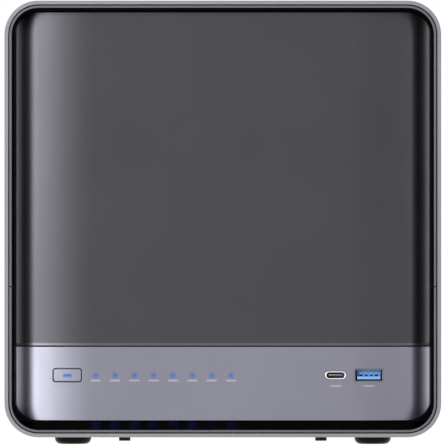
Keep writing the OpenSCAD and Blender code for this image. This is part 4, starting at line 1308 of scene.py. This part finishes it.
@dataclass
class ControlPanel:
    """The silver panel under the cover, with its lights, marks and ports.

    A dash is given by its z and half its length, and is twice dash_tall wide.  Its lifts count to
    the rear: its border dips behind the panel's face by the first, and the rest of it, between the
    inner shares across, stands proud by the second.
    """

    button_hole: Outline = Outline(BUTTON_X, ROW_Z, 6.7 * MM, 3.2 * MM, 1.4 * MM)
    usb_c: Port = field(default_factory=lambda: Port(
        "usb_c", "tongue_black", Outline(51.4 * MM, ROW_Z, 4.17 * MM, 1.28 * MM, 1.28 * MM),
        0.6 * MM, 0.05 * MM, 0.28 * MM))
    usb_a: Port = field(default_factory=lambda: Port(
        "usb_a", "tongue_blue", Outline(66.6 * MM, ROW_Z, 6.25 * MM, 2.56 * MM, 0.3 * MM), 0.35 * MM, finish=PORT_EDGE))
    fit: float = 0.06 * MM
    light_r: float = 0.65 * MM
    light_rise: float = 0.06 * MM
    dome: float = 0.3 * MM
    bosses: tuple[tuple[float, float], ...] = ((-80 * MM, 18.9 * MM), (80 * MM, 18.9 * MM),
                                               (-30 * MM, 36.6 * MM), (30 * MM, 36.6 * MM))
    boss_r: float = 3.5 * MM
    board: float = -106.15 * MM
    dash_tall: float = 0.42 * MM
    light_dash: tuple[float, float] = (29.2 * MM, 2.4 * MM)
    port_dash: tuple[float, float] = (26.7 * MM, 2.6 * MM)
    dash_lift: tuple[float, float] = (0.05 * MM, -0.012 * MM)
    dash_across: tuple[float, ...] = (-1, -0.96, 0.96, 1)
    dash_steps: int = 25
    dash_ends: float = 0.01 * MM

    def skin(self) -> Moulding:
        """The panel's moulding with its three openings.

        Returns:
            The moulding.
        """
        holes = [self.button_hole]
        for port in (self.usb_c, self.usb_a):
            hole, grow = port.opening, port.rim + self.fit
            holes.append(Outline(hole.x, hole.z, hole.half_width + grow, hole.half_height + grow, hole.radius + grow))
        return Moulding("control_panel_skin", 10.9 * MM, 44.6 * MM, Rim.CORNERED, Rim.STRAIGHT,
                        0.25 * MM, 0.16 * MM, openings=tuple(holes))

    def metalwork(self) -> None:
        """Builds the skin and the bosses that carry the front board."""
        skin, builder = self.skin(), Builder()
        skin.into(builder)
        builder.settle(skin.name, PANEL_METAL, "case", "panel_silver", "control_panel")
        builder = Builder()
        for x, z in self.bosses:
            builder.rod(x, z, self.boss_r, float(skin.plan.depth(np.array(x))) + skin.wall / 2, self.board)
        builder.settle("control_panel_bosses", FRAME_BLACK, "case", "panel_silver", "control_panel")

    def lamps(self) -> None:
        """Builds the status lights: domed light guides that stand just proud of the panel."""
        builder = Builder()
        for x in LIGHTS_X:
            guide = Outline(x, ROW_Z, self.light_r, self.light_r, self.light_r)
            builder.stack(rolled(guide, lambda at: FacePlan().depth(at) - self.light_rise, self.board, self.dome))
        builder.settle("status_light_guides", BLUE_LIGHT, "case", "light_blue", "status_lights")

    def marks(self) -> None:
        """Builds a plain pale dash under each light and each port."""
        places = [(x, *self.light_dash) for x in LIGHTS_X]
        places += [(port.opening.x, *self.port_dash) for port in (self.usb_c, self.usb_a)]
        builder, plan, tall = Builder(), FacePlan(), self.dash_tall
        along, across = np.linspace(-1, 1, self.dash_steps)[:, None], np.array([self.dash_across])
        border, face = self.dash_lift
        for x, z, half in places:
            past = np.maximum(np.abs(along) * half - (half - tall), 0.0)
            reach = np.sqrt(np.maximum(tall ** 2 - past ** 2, 0.0)) + self.dash_ends
            flat = np.stack([x + along * half + 0 * across, z + reach * across], axis=-1)
            depth = plan.depth(flat[..., 0]) + (np.where(np.abs(across) == 1, border, face) + 0 * along)
            builder.grid(np.stack([flat[..., 0], depth, flat[..., 1]], axis=-1))
        builder.settle("panel_marks", MARK, "case", "panel_silver")

    def sockets(self) -> None:
        """Builds both ports: shell, tongue, back wall and contacts."""
        small, large = self.usb_c, self.usb_a
        small.shell()
        small.fill("tongue_block", PORT_GREY, 0.12,
                   ((-3.35, 1.0, -0.3), (3.35, 14, 0.42)), ((-4.1, 5.8, -1.2), (4.1, 14, 1.2)))
        small.fill("tongue_plate", PLATE_GREY, 0.05, ((-2.95, 0.9, -0.02), (2.95, 3.0, 0.36)))
        small.fill("contacts", GOLD, 0.02, *(((x - 0.12, 2.2, z), (x + 0.12, 5.6, z + 0.06))
                                             for x in np.linspace(-2.75, 2.75, 12) for z in (-0.33, 0.39)))
        large.shell()
        # the back wall is painted darker as painted shade, the tongue and the contacts lighter as painted light
        large.fill("back_wall", PORT_BLUE_PAINTED_SHADE, 0.1, ((-6.2, 5.2, -2.5), (6.2, 14, 2.5)))
        large.fill("inner_block", PORT_BLUE, 0.15, ((-5.5, 3.4, 0.3), (5.5, 5.4, 2.35)))
        large.fill("tongue_block", PORT_BLUE_PAINTED_LIGHT, 0.15, ((-5.3, 0.9, -1.85), (5.3, 5.4, -0.5)))
        large.fill("contact_ribs", PORT_BLUE, 0.1, *(((x - 0.5, 3.4, -0.45), (x + 0.5, 5.3, 0.4))
                                                     for x in (-4.75, -2.3, 0.1, 2.3, 4.75)))
        large.fill("contacts", PORT_BLUE_PAINTED_LIGHT, 0.15, *(((x - 0.6, 3.1, 0.55), (x + 0.6, 3.6, 1.15))
                                                  for x in (-3.6, -1.0, 1.2, 3.4)))

    def build(self) -> None:
        """Builds the whole panel."""
        self.metalwork()
        self.lamps()
        self.marks()
        self.sockets()


# ---- studio


@dataclass
class Softbox:
    """An area light that looks at the middle of the object.

    Attributes:
        name: its name.
        azimuth: the side it stands on, in degrees; 0 is in front and 90 at the right.
        elevation: its height above the horizon, in degrees.
        width: its width in metres.
        height: its height in metres.
        radiance: how bright its face is, where 1 shows as white in a mirror.
        distance: how far off it stands, in metres.
    """

    name: str
    azimuth: float
    elevation: float
    width: float
    height: float
    radiance: float
    distance: float = 1.6

    def build(self, target: Array) -> None:
        """Puts the light in the scene, turned to the target.

        Args:
            target: the point that it looks at.
        """
        data = bpy.data.lights.new(self.name, "AREA")
        data.shape = "RECTANGLE"
        data.size, data.size_y = self.width, self.height
        data.energy = self.radiance * math.pi * self.width * self.height
        lamp = bpy.data.objects.new(self.name, data)
        turn, rise = math.radians(self.azimuth), math.radians(self.elevation)
        way = np.array([math.sin(turn) * math.cos(rise), -math.cos(turn) * math.cos(rise), math.sin(rise)])
        lamp.location = (target + way * self.distance).tolist()
        lamp.rotation_euler = (math.pi / 2 - rise, 0.0, turn)
        bpy.context.scene.collection.objects.link(lamp)


@dataclass
class Studio:
    """The pale floor, the soft lights, the white surroundings and the camera."""

    view_width: float = 202.75 * MM
    view_side: float = -0.15 * MM
    view_height: float = 101.28 * MM
    rim: float = -126.15 * MM
    distance: float = 6.0
    sensor: float = 36.0
    sight: float = 20.0
    floor_reach: float = 6.0
    floor_lumps: float = 0.4
    floor_tones: tuple[Colour, Colour] = ((0.78, 0.78, 0.79), (0.81, 0.81, 0.81))
    floor_glow: float = 1.1
    floor_share: float = 0.92
    room_tone: Colour = (0.95, 0.96, 1.0)
    room_glow: float = 0.08
    softboxes: tuple[Softbox, ...] = (
        Softbox("key_left", -36, 0, 0.85, 1.9, 10.8, 2.0),
        Softbox("fill_left", -15, 0, 0.25, 1.7, 1.6, 2.4),
        Softbox("fill_right", 48, 0, 0.40, 1.6, 3.5, 1.8),
        Softbox("top", 0, 88, 1.2, 1.2, 0.9),
        Softbox("rear_left", 215, 22, 0.7, 1.1, 0.9),
        Softbox("rear_right", 140, 22, 0.7, 1.1, 0.7),
    )

    def camera(self) -> None:
        """A long lens straight at the front, as far off as its picture is wide at the rim."""
        data = bpy.data.cameras.new("camera")
        data.sensor_width = self.sensor
        data.lens = self.sensor * self.distance / self.view_width
        data.clip_end = self.sight
        camera = bpy.data.objects.new("camera", data)
        camera.location = (self.view_side, self.rim - self.distance, self.view_height)
        camera.rotation_euler = (math.pi / 2, 0.0, 0.0)
        bpy.context.scene.collection.objects.link(camera)
        bpy.context.scene.camera = camera

    def floor(self) -> None:
        """A wide pale floor that keeps a faint shadow: it is lit, but shows mostly a plain glow."""
        ends = (-self.floor_reach, self.floor_reach)
        builder = Builder()
        builder.grid(np.array([[[x, y, 0.0] for y in ends] for x in ends]))
        floor = builder.object("floor")
        shader = Shader(bpy.data.materials.new("floor_pale"))
        lit = shader.node("ShaderNodeBsdfDiffuse", inputs={
            "Color": shader.blend(shader.noise(self.floor_lumps), *self.floor_tones)})
        glow = shader.node("ShaderNodeEmission", inputs={"Color": (1, 1, 1, 1), "Strength": self.floor_glow})
        mix = shader.node("ShaderNodeMixShader", inputs={
            0: shader.seen() * self.floor_share, 1: lit.outputs[0], 2: glow.outputs[0]})
        shader.node("ShaderNodeOutputMaterial", inputs={"Surface": mix.outputs[0]})
        floor.data.materials.append(shader.owner)

    def world(self) -> None:
        """White to the camera and in reflections, and a soft grey room to what it lights."""
        shader = Shader(bpy.data.worlds.new("room"))
        room = shader.node("ShaderNodeBackground", inputs={0: (*self.room_tone, 1.0), 1: self.room_glow})
        white = shader.node("ShaderNodeBackground", inputs={0: (1.0, 1.0, 1.0, 1.0), 1: 1.0})
        mix = shader.node("ShaderNodeMixShader", inputs={0: shader.seen(), 1: room.outputs[0], 2: white.outputs[0]})
        shader.node("ShaderNodeOutputWorld", inputs={0: mix.outputs[0]})
        bpy.context.scene.world = shader.owner

    def build(self) -> None:
        """Sets up the whole studio."""
        scene = bpy.context.scene
        scene.view_settings.view_transform = "Standard"
        self.camera()
        self.floor()
        self.world()
        target = np.array([0.0, 0.0, self.view_height])
        for softbox in self.softboxes:
            softbox.build(target)


@dataclass
class Interior:
    """Everything that keeps its frame shape: frames, cage, trays, fans, rear and computer.

    Each node has its finish and how far its edges are softened, in mm.
    """

    plain: dict[str, tuple[Finish, float]] = field(default_factory=lambda: {
        "bay_frame": (FRAME_BLACK, 0.25), "lower_frame": (FRAME_BLACK, 0.2), "frame_magnets": (NICKEL, 0.15),
        "cover_magnets": (NICKEL, 0.15), "front_board": (BOARD, 0.0), "power_switch": (PORT_BLACK, 0.15),
        "drive_cage": (CAGE, 0.15), "cage_top": (CAGE, 0.15), "guide_rails": (FRAME_BLACK, 0.3),
        "backplane": (BOARD, 0.0), "drive_connectors": (PORT_BLACK, 0.2), "rear_panel": (REAR, 0.15),
        "case_fasteners": (BLACK_SCREW, 0.25), "fan_frame_left": (FAN, 0.3), "fan_frame_right": (FAN, 0.3),
        "fan_rotor_left": (FAN, 0.15), "fan_rotor_right": (FAN, 0.15), "board_tray": (REAR, 0.15),
        "mainboard": (BOARD, 0.0), "heatsink": (SINK, 0.1), "cpu_fan_frame": (FAN, 0.25),
        "cpu_fan_rotor": (FAN, 0.1), "memory_modules": (BOARD, 0.05), "storage_heatsinks": (SINK, 0.15),
        "lan_ports": (NICKEL, 0.2), "rear_ports": (NICKEL, 0.15), "power_inlet": (PORT_BLACK, 0.25),
        "tray_handle": (SINK, 0.6), "feet": (RUBBER, 0.3), "left_lock_screw": (BLACK_SCREW, 0.1),
        "right_lock_screw": (BLACK_SCREW, 0.1),
    })
    each_bay: dict[str, tuple[Finish, float]] = field(default_factory=lambda: {
        "tray": (TRAY_BLACK, 0.25), "tray_side": (ZINC, 0.1), "tray_lever": (LEVER_BLACK, 0.3)})
    bays: int = 5

    def build(self) -> None:
        """Dresses each node in its finish."""
        for node, (finish, edge) in self.plain.items():
            dress(node, finish, edge * MM)
        for bay in range(1, self.bays + 1):
            for node, (finish, edge) in self.each_bay.items():
                dress(f"{node}_{bay}", finish, edge * MM)


def main() -> None:
    """Builds every sub-assembly in order."""
    logging.basicConfig(level=logging.INFO, format="%(name)s: %(message)s")
    for assembly in (Studio, Sleeve, Surround, FrontCover, ControlPanel, PowerButton, Interior):
        assembly().build()


if __name__ == "__main__":
    main()
